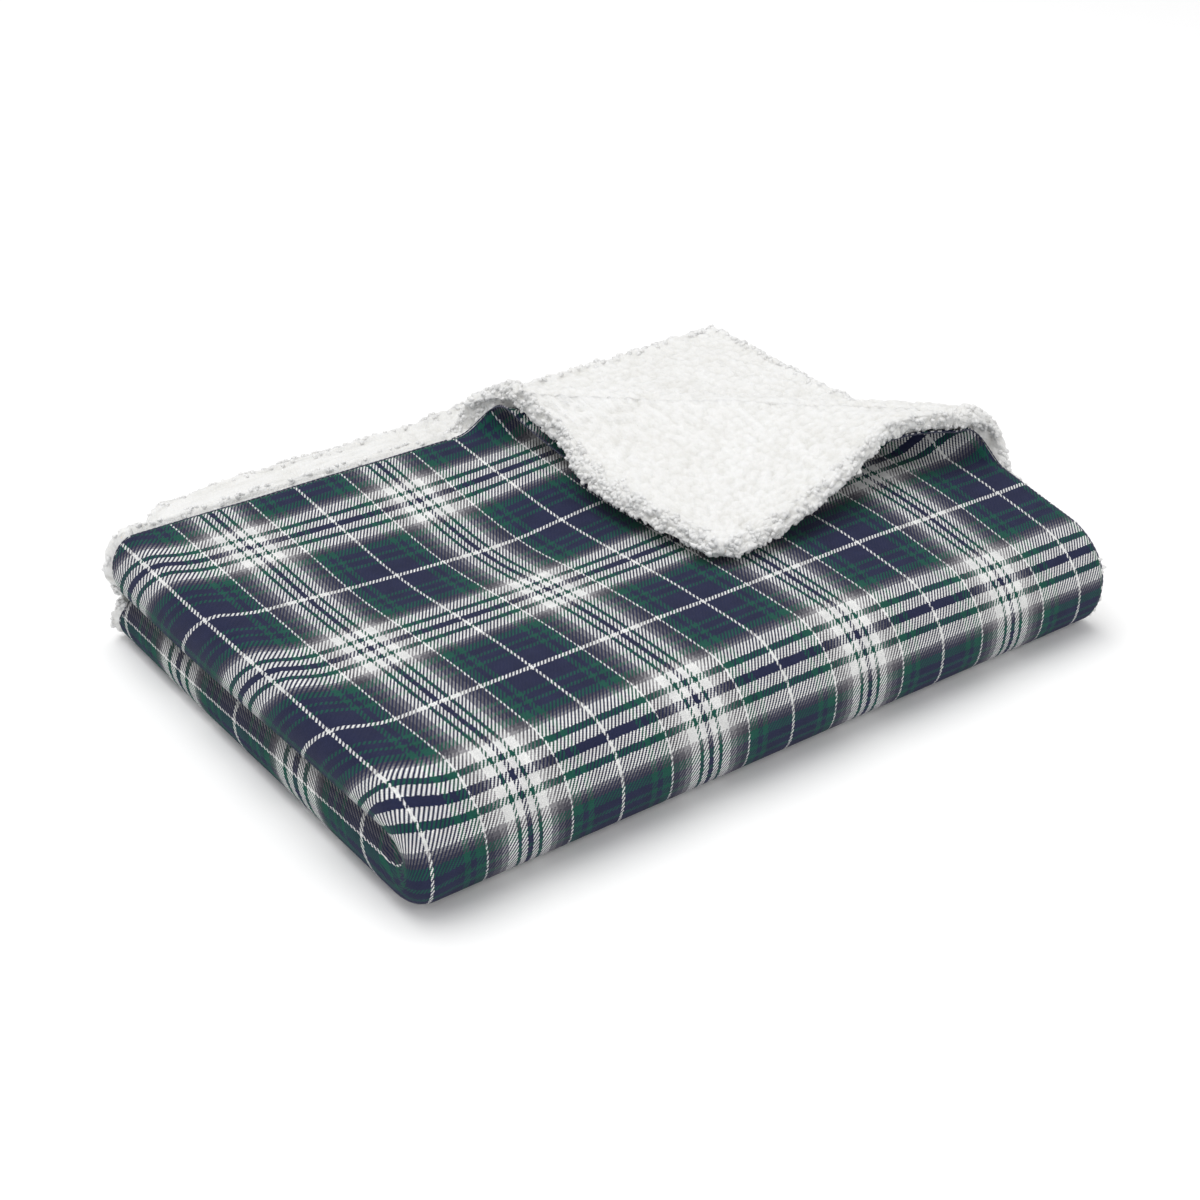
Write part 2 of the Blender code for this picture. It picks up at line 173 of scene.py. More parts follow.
@dataclass(frozen=True)
class FoldedStack:
    """Where a point of the flat blanket lies once it is folded.

    Pattern terms: "along" runs from the left fold to the side edge, positive on layers one and four. "depth"
    runs from the plaid side into the pile. "past" is how far a point of layer one lies beyond the start of
    the turned corner, and "across" is its share of the way from the back edge to the side edge there.
    """

    left_x: float
    side_x: float
    fold_y: float
    fold_z: float
    upper_z: float
    back_outer: float
    layer: float
    face: float
    pile_top: float
    pile_end: float
    overhang: float
    along_crease: tuple[float, float]
    turned: float
    corner_span: float = 0.36  # about the longest line across the turned corner
    blunt: float = 0.004  # what a sewn and turned corner loses at its point
    roll_radius: float = 0.010
    valley_middle: tuple[float, float] = (-0.069, 0.023)
    valley_spread: tuple[float, float] = (0.090, 0.065)
    valley_depth: float = 0.012
    ripple: float = 0.0011
    ripple_cell: float = 0.055
    end_droop: float = 0.009  # how far the right end of the front fold sinks
    droop_line: tuple[float, float] = (-0.19, 0.05)  # y of the middle of that droop, and its spread
    end_draw: float = 0.012  # how far that end is drawn in
    right_end: tuple[float, float] = (0.02, 0.24)  # x over which the droop comes in
    flat_foot: float = 0.5  # power that flattens the front fold where it stands on the ground
    corner_fill: tuple[float, float, float] = (0.014, 0.021, 0.027)  # front fold's reach at its left corner
    corner_width: float = 0.05  # over this distance from the left fold the corner ends
    groove_drop: float = 0.010  # how much lower the groove between the left folds lies at the back
    groove_width: tuple[float, float] = (0.02, 0.11)  # distances from the left fold over which it ends
    tuck: float = 0.85  # share of its overhang that the pile loses at the right end of the front fold
    back_step: tuple[float, float] = (-0.075, -0.010)  # where the back edge steps between two layers
    skew: float = 0.006  # the lower half is folded this far off the line of the upper one
    waist: tuple[float, float] = (0.06, 0.18)  # shares by which the turned corner's two edges are drawn in
    bulge: float = 0.009  # how far its back edge swells out again nearer its tip
    crest_draw: tuple[float, float] = (1.6, 0.5)  # shares of the overhang drawn in where the roll crests
    sag: float = 0.60  # share of its height that the back edge of the turned corner loses
    lift: float = 0.50  # share that its side edge gains
    shift_reach: float = 0.050  # over this distance beside the left fold the weft lines swing back
    fringe: float = 0.0025  # how much further than its plain solid the pile reaches

    @classmethod
    def from_frame(cls, joints: Sequence[dict]) -> FoldedStack:
        """Reads the stack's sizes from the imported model.

        Args:
            joints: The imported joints.

        Returns:
            The stack.
        """
        left_low, left_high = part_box("face_cloth_upper_left_fold")
        flat_low, flat_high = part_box("face_cloth_layer_one")
        pile_low, pile_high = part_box("sherpa_layer_one")
        front_low, front_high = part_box("face_cloth_front_fold")
        crease_low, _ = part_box("face_cloth_crease_lower")
        axis = next(joint["axis"] for joint in joints if joint["name"] == "corner_unroll")
        layer = (left_high.z - left_low.z) / 2
        return cls(
            left_x=left_low.x,
            side_x=flat_high.x,
            fold_y=front_low.y + front_high.z / 2,
            fold_z=front_high.z / 2,
            upper_z=left_high.z - layer,
            back_outer=flat_high.y,
            layer=layer,
            face=flat_high.z - flat_low.z,
            pile_top=flat_high.z - pile_high.z,
            pile_end=flat_high.z - pile_low.z,
            overhang=pile_high.x - flat_high.x + cls.fringe,
            along_crease=(-axis[0], -axis[1]),
            turned=(flat_high.x - crease_low.x) * axis[1],
        )

    @property
    def top_z(self) -> float:
        """Height of layer one's plaid side."""
        return self.upper_z + self.layer

    @property
    def fold_arc(self) -> float:
        """Cloth that a quarter of a left fold takes."""
        return math.pi / 2 * self.layer

    @property
    def half_length(self) -> float:
        """Cloth from the left fold to the side edge."""
        return self.side_x - self.left_x - self.layer + self.fold_arc

    @property
    def half_width(self) -> float:
        """Cloth from the middle of the front fold to the back edge."""
        return self.back_outer - self.fold_y + math.pi / 2 * (self.top_z - self.fold_z)

    @property
    def square(self) -> Array:
        """Direction square to the crease, towards the corner as it lay before it was turned."""
        return np.array((-self.along_crease[1], self.along_crease[0]))

    @property
    def roll_start(self) -> Array:
        """Foot of the corner on the line where the roll starts."""
        return np.array((self.side_x, self.back_outer)) - self.turned * self.square

    @property
    def tip(self) -> float:
        """How far past the start of the roll the blunt tip of the corner is."""
        return self.turned - self.blunt

    @property
    def roll_turn(self) -> float:
        """Angle of the roll that brings the tip down onto layer one."""
        low, high = math.pi, 1.5 * math.pi
        for _ in range(40):
            turn = (low + high) / 2
            beyond = self.tip - self.roll_radius * turn
            height = self.roll_radius * (1 - math.cos(turn)) + beyond * math.sin(turn)
            low, high = (turn, high) if height > 0.0003 else (low, turn)
        return low

    @property
    def roll_length(self) -> float:
        """Cloth in the roll."""
        return self.roll_radius * self.roll_turn

    @property
    def crease_back_x(self) -> float:
        """Where the start of the roll meets the back edge."""
        return self.side_x - self.turned / self.square[0]

    def crease_y(self, x: Array) -> Array:
        """Start of the roll, for each x on layer one."""
        return self.roll_start[1] - (x - self.roll_start[0]) * self.square[0] / self.square[1]

    def to_along(self, x: Array) -> Array:
        """Pattern place of an x on the flat of layer one."""
        return x - self.left_x - self.layer + self.fold_arc

    def wrap_length(self, along: Array) -> Array:
        """Cloth between the middle of the front fold and the flat, swung back beside the left fold."""
        return math.pi / 2 * (self.top_z - self.fold_z) * ramp(along, -self.shift_reach, self.shift_reach)

    def section(self, along: Array, depth: Array) -> tuple[Array, Array]:
        """Upper half seen from the side.

        Args:
            along: Pattern places.
            depth: Depths below the plaid side.

        Returns:
            Their x and z.
        """
        angle = np.clip(along, -self.fold_arc, self.fold_arc) / self.layer
        beyond = np.maximum(np.abs(along) - self.fold_arc, 0)
        radius = self.layer - depth
        x = self.left_x + self.layer + beyond - radius * np.cos(angle)
        return x, self.upper_z + radius * np.sin(angle)

    def back(self, along: Array) -> Array:
        """y of the back edge: the further out a layer lies, the more of its cloth the front fold takes."""
        inner = self.fold_y + self.half_width - math.pi / 2 * (self.upper_z - self.layer - self.fold_z)
        return inner + ramp(along, *self.back_step) * (self.back_outer - inner)

    def upper(self, along: Array, y: Array, depth: Array) -> Array:
        """Points of layers one and two."""
        x, z = self.section(along, depth)
        return self.settle(np.stack(np.broadcast_arrays(x, y, z), -1))

    def lower(self, along: Array, y: Array, depth: Array) -> Array:
        """Points of layers three and four, which mirror the upper half."""
        x, z = self.section(along, depth)
        return self.settle(np.stack(np.broadcast_arrays(x, y, 2 * self.fold_z - z), -1))

    def front(self, along: Array, turn: Array, depth: Array) -> Array:
        """Points of the front fold; turn is 0 at the upper half and 1 at the lower one."""
        x, z = self.section(along, depth)
        angle = turn * math.pi
        radius = z - self.fold_z
        power = np.where(turn > 0.5, self.flat_foot, 1.0)
        beside = 1 - ramp(np.abs(along), self.fold_arc, self.fold_arc + self.corner_width)
        full = self.top_z - self.fold_z
        filled = np.interp(radius, [0, full / 4, full / 2, full], [*self.corner_fill, full])
        reach = radius + (filled - radius) * beside
        y = self.fold_y - reach * np.maximum(np.sin(angle), 0) ** power
        return self.settle(np.stack(np.broadcast_arrays(x, y, self.fold_z + radius * np.cos(angle)), -1))

    def across_line(self, past: Array, across: Array, outset: float) -> Array:
        """Place along the crease of a share of the way across, with both edges moved outward."""
        cos, sin = self.square
        back = (outset + (self.turned - past) * sin) / cos
        side = (outset + (self.turned - past) * cos) / sin
        return -back + across * (side + back)

    def corner_flat(self, past: Array, across: Array, outset: float) -> tuple[Array, Array]:
        """x and y of points of the roll and the corner as they lay before they were turned."""
        aside = self.across_line(past, across, outset)
        (sx, sy), (ax, ay) = self.square, self.along_crease
        return self.roll_start[0] + past * sx + aside * ax, self.roll_start[1] + past * sy + aside * ay

    def corner(self, past: Array, across: Array, depth: Array, outset: float = 0.0) -> Array:
        """Points of the roll and of the turned corner beyond it.

        Args:
            past: How far each lies past the start of the roll.
            across: Its share of the way from the back edge to the side edge.
            depth: Its depth below the plaid side.
            outset: How far both edges are moved outward.

        Returns:
            The points.
        """
        turn = np.minimum(past / self.roll_radius, self.roll_turn)
        beyond = np.maximum(past - self.roll_length, 0)
        share = np.clip(beyond / (self.tip - self.roll_length), 0, 1)
        swing = 27 / 4 * share * (1 - share) ** 2  # 1 at its peak, a third of the way to the tip
        middle = self.across_line(past, np.full_like(across, 0.5), outset)
        aside = self.across_line(past, across, outset)
        drawn = self.waist[0] + across * (self.waist[1] - self.waist[0])
        aside = middle + (aside - middle) * (1 - drawn * swing)
        aside -= self.bulge * (1 - across) ** 2 * np.sin(math.pi * np.clip((share - 0.4) / 0.6, 0, 1))
        crest = ramp(past / self.roll_radius, 1.8, 2.8) * (1 - ramp(past - self.roll_length, 0.015, 0.065))
        aside += outset * crest * (self.crest_draw[0] * (1 - across) ** 6 - self.crest_draw[1] * across**6)
        radius = self.roll_radius + depth
        out = radius * np.sin(turn) + beyond * np.cos(turn)
        height = self.roll_radius * (1 - np.cos(turn)) + beyond * np.sin(turn)
        raised = (self.lift * across - self.sag * (1 - across)) * swing
        z = self.top_z + self.roll_radius - radius * np.cos(turn) + beyond * np.sin(turn) + height * raised
        (sx, sy), (ax, ay) = self.square, self.along_crease
        x = self.roll_start[0] + out * sx + aside * ax
        y = self.roll_start[1] + out * sy + aside * ay
        return self.settle(np.stack(np.broadcast_arrays(x, y, z), -1))

    def settle(self, points: Array) -> Array:
        """Lets the stack sink and ripple a little, more the higher a point lies."""
        x, y, z = points[..., 0], points[..., 1], points[..., 2]
        away = [(value - middle) / spread for value, middle, spread in
                zip((x, y), self.valley_middle, self.valley_spread)]
        sink = self.valley_depth * np.exp(-0.5 * (away[0] ** 2 + away[1] ** 2))
        flat = np.stack([x, y, np.zeros_like(x)], -1).reshape(-1, 3)
        ripple = self.ripple * soft_noise(flat, self.ripple_cell, 5).reshape(x.shape)
        middle, spread = self.droop_line
        droop = self.end_droop * ramp(x, *self.right_end) * np.exp(-0.5 * ((y - middle) / spread) ** 2)
        tucked = self.tuck * ramp(-y, 0.07, 0.13) * np.maximum(x - self.side_x, 0)
        drawn = self.end_draw * ramp(-y, 0.09, 0.22) * np.clip((x + 0.05) / 0.3, 0, 1)
        beside = 1 - ramp(x - self.left_x, *self.groove_width)
        tent = np.clip(1 - np.abs(z / self.fold_z - 1), 0, 1)
        groove = self.groove_drop * beside * tent * ramp(y, -0.20, 0.10)
        moved = points.copy()
        moved[..., 0] = x - drawn - tucked
        moved[..., 2] = z + np.clip(z / self.top_z, 0, 1) * (ripple - sink - droop) - groove
        return moved


@dataclass(frozen=True)
class Bend:
    """Two bodies and two points for a bend: from "start" a piece would follow one, from "end" the other;
    nothing here bends it.
    """

    first: str
    second: str
    start: Vector
    end: Vector
    reach: ClassVar[float] = 0.06  # distance from the front fold over which its bend runs out

    @classmethod
    def across_front(cls, stack: FoldedStack, half: int) -> Bend:
        """Bend over the front fold.

        Args:
            stack: The stack.
            half: 1 for a piece of the upper half, -1 for one of the lower half, 0 for one of the fold.

        Returns:
            The bend, half done on the fold's own axis.
        """
        rate = Vector((0, half / cls.reach, 1 / (2 * stack.fold_z)))
        run = rate / rate.length_squared
        middle = Vector((0, stack.fold_y, stack.fold_z))
        return cls("lower_half", "upper_half", middle - run / 2, middle + run / 2)

    @classmethod
    def in_roll(cls, stack: FoldedStack, upper: bool) -> Bend:
        """Bend in the lower or the upper half of the turned corner's roll."""
        out = Vector((*stack.square, 0)) * stack.roll_radius
        rise = Vector((0, 0, stack.roll_radius))
        foot = Vector((*stack.roll_start, stack.top_z))
        if upper:
            return cls("crease_roll", "turned_corner", foot + out + rise, foot + 2 * rise)
        return cls("upper_half", "crease_roll", foot, foot + out + rise)

    @classmethod
    def roll_halves(cls, stack: FoldedStack) -> list[tuple[str, float, float, Bend]]:
        """The two halves of the roll: the name, the start and the stop of each, and its bend."""
        step = stack.roll_length / 2
        halves = (("lower", 0.0, step), ("upper", step, 2 * step))
        return [(*half, cls.in_roll(stack, half[0] == "upper")) for half in halves]

    def apply(self, piece: bpy.types.Object) -> None:
        """Bakes a finished piece's place into its mesh, without bending it."""
        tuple(self.start)
        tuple(self.end)
        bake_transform(piece)


def grid_faces(rows: int, columns: int) -> Array:
    """Faces of two grids of points, outer then inner, joined by walls into one closed body."""
    index = np.arange(rows * columns).reshape(rows, columns)
    outer = np.stack([index[:-1, :-1], index[1:, :-1], index[1:, 1:], index[:-1, 1:]], -1).reshape(-1, 4)
    inner = outer[:, ::-1] + rows * columns
    rim = np.concatenate([index[:, 0], index[-1, 1:], index[-2::-1, -1], index[0, -2:0:-1]])
    ahead = np.roll(rim, -1)
    walls = np.stack([ahead, rim, rim + rows * columns, ahead + rows * columns], -1)
    return np.concatenate([outer, inner, walls])


def outward(points: Array, faces: Array) -> Array:
    """Quads turned so that the body that they close faces outward."""
    a, b, c, d = (points[faces[:, k]] for k in range(4))
    volume = (a * np.cross(b, c)).sum() + (a * np.cross(c, d)).sum()
    return faces if volume > 0 else faces[:, ::-1]


def link_mesh(name: str, points: Array, faces: Array, finish: bpy.types.Material) -> bpy.types.Object:
    """A smoothly shaded piece made of points and faces."""
    mesh = bpy.data.meshes.new(name)
    mesh.from_pydata(points.tolist(), [], faces.tolist())
    mesh.materials.append(finish)
    mesh.shade_smooth()
    piece = bpy.data.objects.new(name, mesh)
    bpy.context.scene.collection.objects.link(piece)
    return piece


def make_body(name: str, outer: Array, inner: Array, pattern: Array | None, finish: bpy.types.Material,
              marks: dict[str, Array] | None = None) -> bpy.types.Object:
    """A closed body between two grids of points.

    Args:
        name: Name of the piece.
        outer: Points of the outer surface, rows by columns by 3.
        inner: The same for the inner surface.
        pattern: Pattern place of each point in metres, rows by columns by 2, or None.
        finish: Its material.
        marks: Values for each point of the two grids, by name.

    Returns:
        The piece.
    """
    rows, columns = outer.shape[:2]
    points = np.concatenate([outer.reshape(-1, 3), inner.reshape(-1, 3)])
    faces = outward(points, grid_faces(rows, columns))
    piece = link_mesh(name, points, faces, finish)
    mesh = piece.data
    mesh.set_sharp_from_angle(angle=math.radians(70))
    if pattern is not None:
        both = np.concatenate([pattern.reshape(-1, 2)] * 2)
        layer = mesh.uv_layers.new(name="pattern")
        layer.data.foreach_set("uv", both[faces.ravel()].astype(np.float32).ravel())
    for mark, values in (marks or {}).items():
        attribute = mesh.attributes.new(mark, "FLOAT", "POINT")
        attribute.data.foreach_set("value", values.astype(np.float32).ravel())
    return piece


def mount(piece: bpy.types.Object, carrier: str | Bend, slot: str, *nodes: str) -> None:
    """Puts a piece on its body, or bakes its place if it has a bend, and hides the nodes it stands for."""
    if isinstance(carrier, Bend):
        carrier.apply(piece)
    else:
        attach(piece, carrier)
    if nodes:
        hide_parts(*nodes)
    log.info("%s: %d faces", piece.name, len(piece.data.polygons))


class Graph:
    """Adds nodes to a new material, each fed by sockets or numbers."""

    def __init__(self, name: str) -> None:
        """Starts a material with a Principled shader."""
        self.material = bpy.data.materials.new(name)
        self.material.use_nodes = True
        self.tree = self.material.node_tree
        self.shader = self.tree.nodes["Principled BSDF"]

    def add(self, kind: str, inputs: dict[str, object] | None = None, **settings: object) -> bpy.types.Node:
        """A node.

        Args:
            kind: Its type, without the "ShaderNode" in front.
            inputs: Sockets, numbers or colours for its inputs, by name or place.
            **settings: Its own properties.

        Returns:
            The node.
        """
        node = self.tree.nodes.new(f"ShaderNode{kind}")
        for key, value in settings.items():
            setattr(node, key, value)
        for key, value in (inputs or {}).items():
            self.feed(node.inputs[key], value)
        return node

    def feed(self, target: Socket, value: object) -> None:
        """Links a socket to an input, or sets the input to a value; a colour is made opaque."""
        if isinstance(value, bpy.types.NodeSocket):
            self.tree.links.new(value, target)
        else:
            target.default_value = (*value, 1) if target.type == "RGBA" else value

    def math(self, operation: str, *values: object) -> Socket:
        """Result of a Math node."""
        return self.add("Math", dict(enumerate(values)), operation=operation).outputs[0]

    def mix(self, share: object, low: object, high: object, kind: str = "MIX") -> Socket:
        """Mix of two colours, by a blend type."""
        return self.add("Mix", {0: share, 6: low, 7: high}, data_type="RGBA", blend_type=kind).outputs[2]

    def tinted(self, colour: Socket, share: Socket, dark: Colour, pale: Colour) -> Socket:
        """A colour multiplied by a tint between a dark one and a pale one."""
        return self.mix(1.0, colour, self.mix(share, dark, pale), "MULTIPLY")

    def bump(self, height: Socket, strength: float, distance: float) -> Socket:
        """Normal of a surface raised by a height."""
        return self.add("Bump", {"Strength": strength, "Distance": distance, "Height": height}).outputs[0]

    def noise(self, place: Socket, scale: float, detail: float = 2.0, rough: float = 0.5) -> Socket:
        """Value of a noise texture."""
        inputs = {"Vector": place, "Scale": scale, "Detail": detail, "Roughness": rough}
        return self.add("TexNoise", inputs).outputs["Fac"]

    def waves(self, place: Socket, scale: float, distortion: float, direction: str) -> Socket:
        """Value of a wave texture."""
        inputs = {"Vector": place, "Scale": scale, "Distortion": distortion}
        return self.add("TexWave", inputs, bands_direction=direction).outputs["Fac"]

    def spread(self, value: Socket, low: float, high: float) -> Socket:
        """A value stretched so that low becomes 0 and high becomes 1."""
        return self.add("MapRange", {"Value": value, "From Min": low, "From Max": high}).outputs[0]

    def stripes(self, share: Socket, bands: Sequence[tuple[float, Colour]]) -> Socket:
        """Colour of a stripe: each band is where it starts and its colour."""
        node = self.add("ValToRGB", {"Fac": share})
        ramp = node.color_ramp
        ramp.interpolation = "CONSTANT"
        while len(ramp.elements) < len(bands):
            ramp.elements.new(1.0)
        for element, (start, colour) in zip(ramp.elements, bands):
            element.position = start
            element.color = (*colour, 1)
        return node.outputs["Color"]

    def surface(self, **values: object) -> None:
        """Feeds the shader's own inputs, whose names have spaces where these have underscores."""
        for key, value in values.items():
            self.feed(self.shader.inputs[key.replace("_", " ")], value)


class Yarn(Enum):
    """Dyed yarns of the check, in linear colour."""

    NAVY = (0.020, 0.024, 0.062)
    GREEN = (0.012, 0.084, 0.062)
    WHITE = (0.79, 0.79, 0.772)
    SLATE = (0.062, 0.062, 0.080)
    GREY = (0.125, 0.122, 0.138)
    ASH = (0.290, 0.285, 0.295)


Sett = tuple[tuple[Yarn, float], ...]


@dataclass(frozen=True)
class PlaidTwill:
    """Brushed two-and-two twill in a check.

    Each sett runs from the thin white line to the middle of the broad band, in shares of a repeat.
    """

    warp_repeat: float = 0.117
    weft_repeat: float = 0.1387
    warp_line: float = 0.0172  # first thin white warp line, from the left fold
    weft_line: float = 0.09845  # first thin white weft line, from the middle of the front fold
    warp_yarn: float = 0.000575
    weft_yarn: float = 0.00086
    warp_sett: Sett = (
        (Yarn.WHITE, 0.0078), (Yarn.NAVY, 0.160), (Yarn.GREEN, 0.190), (Yarn.NAVY, 0.220), (Yarn.GREEN, 0.270),
        (Yarn.WHITE, 0.280), (Yarn.SLATE, 0.315), (Yarn.GREY, 0.350), (Yarn.ASH, 0.385), (Yarn.WHITE, 0.435),
        (Yarn.GREEN, 0.455), (Yarn.WHITE, 0.485), (Yarn.NAVY, 0.500),
    )
    weft_sett: Sett = (
        (Yarn.WHITE, 0.0100), (Yarn.NAVY, 0.125), (Yarn.GREEN, 0.145), (Yarn.NAVY, 0.185), (Yarn.GREEN, 0.205),
        (Yarn.NAVY, 0.245), (Yarn.GREEN, 0.290), (Yarn.SLATE, 0.308), (Yarn.GREY, 0.328), (Yarn.ASH, 0.345),
        (Yarn.WHITE, 0.405), (Yarn.GREEN, 0.435), (Yarn.WHITE, 0.480), (Yarn.NAVY, 0.500),
    )
    wander: float = 0.0022  # how far stray fibres carry a yarn's colour
    hairiness: float = 0.07  # share of the surface under pale brushed hairs

    @staticmethod
    def bands(sett: Sett) -> list[tuple[float, Colour]]:
        """Stripe starts and colours for a ramp over half a repeat."""
        starts = [0.0, *(2 * end for _, end in sett[:-1])]
        return [(start, yarn.value) for start, (yarn, _) in zip(starts, sett)]

    def yarn_colour(self, graph: Graph, place: Socket, line: float, repeat: float, sett: Sett) -> Socket:
        """Colour of the warp or the weft at a pattern place."""
        share = graph.math("DIVIDE", graph.math("SUBTRACT", place, line), repeat)
        folded = graph.math("MULTIPLY", graph.math("PINGPONG", share, 0.5), 2.0)
        return graph.stripes(folded, self.bands(sett))

    def material(self) -> bpy.types.Material:
        """The cloth's material, laid out on the pattern in metres."""
        graph = Graph("plaid_twill")
        pattern = graph.add("UVMap", uv_map="pattern").outputs[0]
        split = graph.add("SeparateXYZ", {0: pattern})
        fibres = graph.math("SUBTRACT", graph.noise(pattern, 420.0, 4.0, 0.65), 0.5)
        along, over = (graph.math("MULTIPLY_ADD", fibres, self.wander, split.outputs[k]) for k in range(2))
        warp = self.yarn_colour(graph, along, self.warp_line, self.warp_repeat, self.warp_sett)
        weft = self.yarn_colour(graph, over, self.weft_line, self.weft_repeat, self.weft_sett)
        ends = graph.math("DIVIDE", split.outputs[0], self.warp_yarn)
        picks = graph.math("DIVIDE", split.outputs[1], self.weft_yarn)
        step = graph.math("SUBTRACT", graph.math("FLOOR", ends), graph.math("FLOOR", picks))
        warp_up = graph.math("LESS_THAN", graph.math("FLOORED_MODULO", step, 4.0), 1.5)
        woven = graph.mix(warp_up, weft, warp)
        fuzz = graph.noise(pattern, 1500.0, 3.0, 0.7)
        shaded = graph.tinted(woven, graph.spread(fuzz, 0.25, 0.75), (0.62, 0.62, 0.64), (1.3, 1.3, 1.3))
        patches = graph.spread(graph.noise(pattern, 95.0, 3.0), 0.3, 0.7)
        worn = graph.tinted(shaded, patches, (0.86, 0.86, 0.87), (1.1, 1.1, 1.1))
        hairs = graph.spread(graph.noise(pattern, 3200.0, 2.0, 0.6), 0.62, 0.80)
        brushed = graph.mix(graph.math("MULTIPLY", hairs, self.hairiness), worn, (0.34, 0.36, 0.40))
        crests = [graph.math("PINGPONG", yarns, 0.5) for yarns in (picks, ends)]
        rounded = graph.add("Mix", {0: warp_up, 2: crests[0], 3: crests[1]}).outputs[0]
        height = graph.math("MULTIPLY_ADD", rounded, 1.2, graph.math("MULTIPLY", fuzz, 0.9))
        graph.surface(
            Base_Color=brushed, Roughness=graph.math("MULTIPLY_ADD", fuzz, 0.16, 0.82),
            Normal=graph.bump(height, 0.75, 0.0003), Specular_IOR_Level=0.10, Sheen_Weight=0.05,
            Sheen_Roughness=0.5,
        )
        return graph.material


@dataclass(frozen=True)
class SherpaPile:
    """Curled white pile, with warm painted shade where its curls part."""

    crown: Colour = (0.850, 0.850, 0.847)
    # painted shade: the colour where the curls part, darker and warmer than the crown
    crevice: Colour = (0.68, 0.675, 0.64)

    def material(self) -> bpy.types.Material:
        """The pile's material. Its painted shade follows the mark "hollow": how deep between the curls a point
        lies.
        """
        graph = Graph("sherpa_pile")
        place = graph.add("TexCoord").outputs["Object"]
        hollow = graph.add("Attribute", attribute_name="hollow", attribute_type="GEOMETRY").outputs["Fac"]
        fleck = graph.spread(graph.noise(place, 420.0, 4.0, 0.6), 0.38, 0.72)
        # painted shade from the hollow mark, with random flecks of real tone
        depth = graph.math("MULTIPLY_ADD", hollow, 0.55, graph.math("MULTIPLY", fleck, 0.14))
        colour = graph.mix(depth, self.crown, self.crevice)
        tone = graph.spread(graph.noise(place, 34.0, 2.0), 0.3, 0.7)
        toned = graph.tinted(colour, tone, (0.97, 0.965, 0.955), (1.02, 1.02, 1.02))
        curls = graph.add("TexVoronoi", {"Vector": place, "Scale": 620.0, "Randomness": 1.0}, feature="F1")
        wisps = graph.noise(place, 1400.0, 3.0, 0.65)
        height = graph.math("MULTIPLY_ADD", curls.outputs[0], -0.8, graph.math("MULTIPLY", wisps, 0.9))
        graph.surface(
            Base_Color=toned, Roughness=graph.math("MULTIPLY_ADD", fleck, 0.1, 0.86),
            Normal=graph.bump(height, 0.7, 0.0007), Specular_IOR_Level=0.12, Sheen_Weight=0.35,
            Sheen_Roughness=0.5, Subsurface_Weight=0.30, Subsurface_Radius=(1.0, 0.97, 0.92),
            Subsurface_Scale=0.0035,
        )
        return graph.material


@dataclass(frozen=True)
class SpunThread:
    """Navy sewing thread with its twist."""

    colour: Colour = (0.020, 0.023, 0.050)
    highlight: Colour = (0.075, 0.085, 0.140)

    def material(self) -> bpy.types.Material:
        """The thread's material."""
        graph = Graph("seam_thread")
        place = graph.add("TexCoord").outputs["Object"]
        twist = graph.waves(place, 420.0, 2.0, "DIAGONAL")
        colour, normal = graph.mix(twist, self.colour, self.highlight), graph.bump(twist, 0.5, 0.0002)
        graph.surface(Base_Color=colour, Roughness=0.7, Normal=normal, Sheen_Weight=0.2)
        return graph.material


@dataclass(frozen=True)
class SatinRibbon:
    """Blank woven satin, for the care label."""

    colour: Colour = (0.86, 0.855, 0.83)

    def material(self) -> bpy.types.Material:
        """The ribbon's material."""
        graph = Graph("label_satin")
        place = graph.add("TexCoord").outputs["Object"]
        ribs = graph.waves(place, 900.0, 0.6, "Y")
        tone = graph.spread(graph.noise(place, 120.0, 3.0), 0.3, 0.7)
        colour = graph.mix(tone, tuple(0.92 * part for part in self.colour), self.colour)
        rough = graph.math("MULTIPLY_ADD", tone, 0.15, 0.32)
        ribbed = graph.bump(ribs, 0.3, 0.0001)
        graph.surface(Base_Color=colour, Roughness=rough, Normal=ribbed, Sheen_Weight=0.15)
        return graph.material


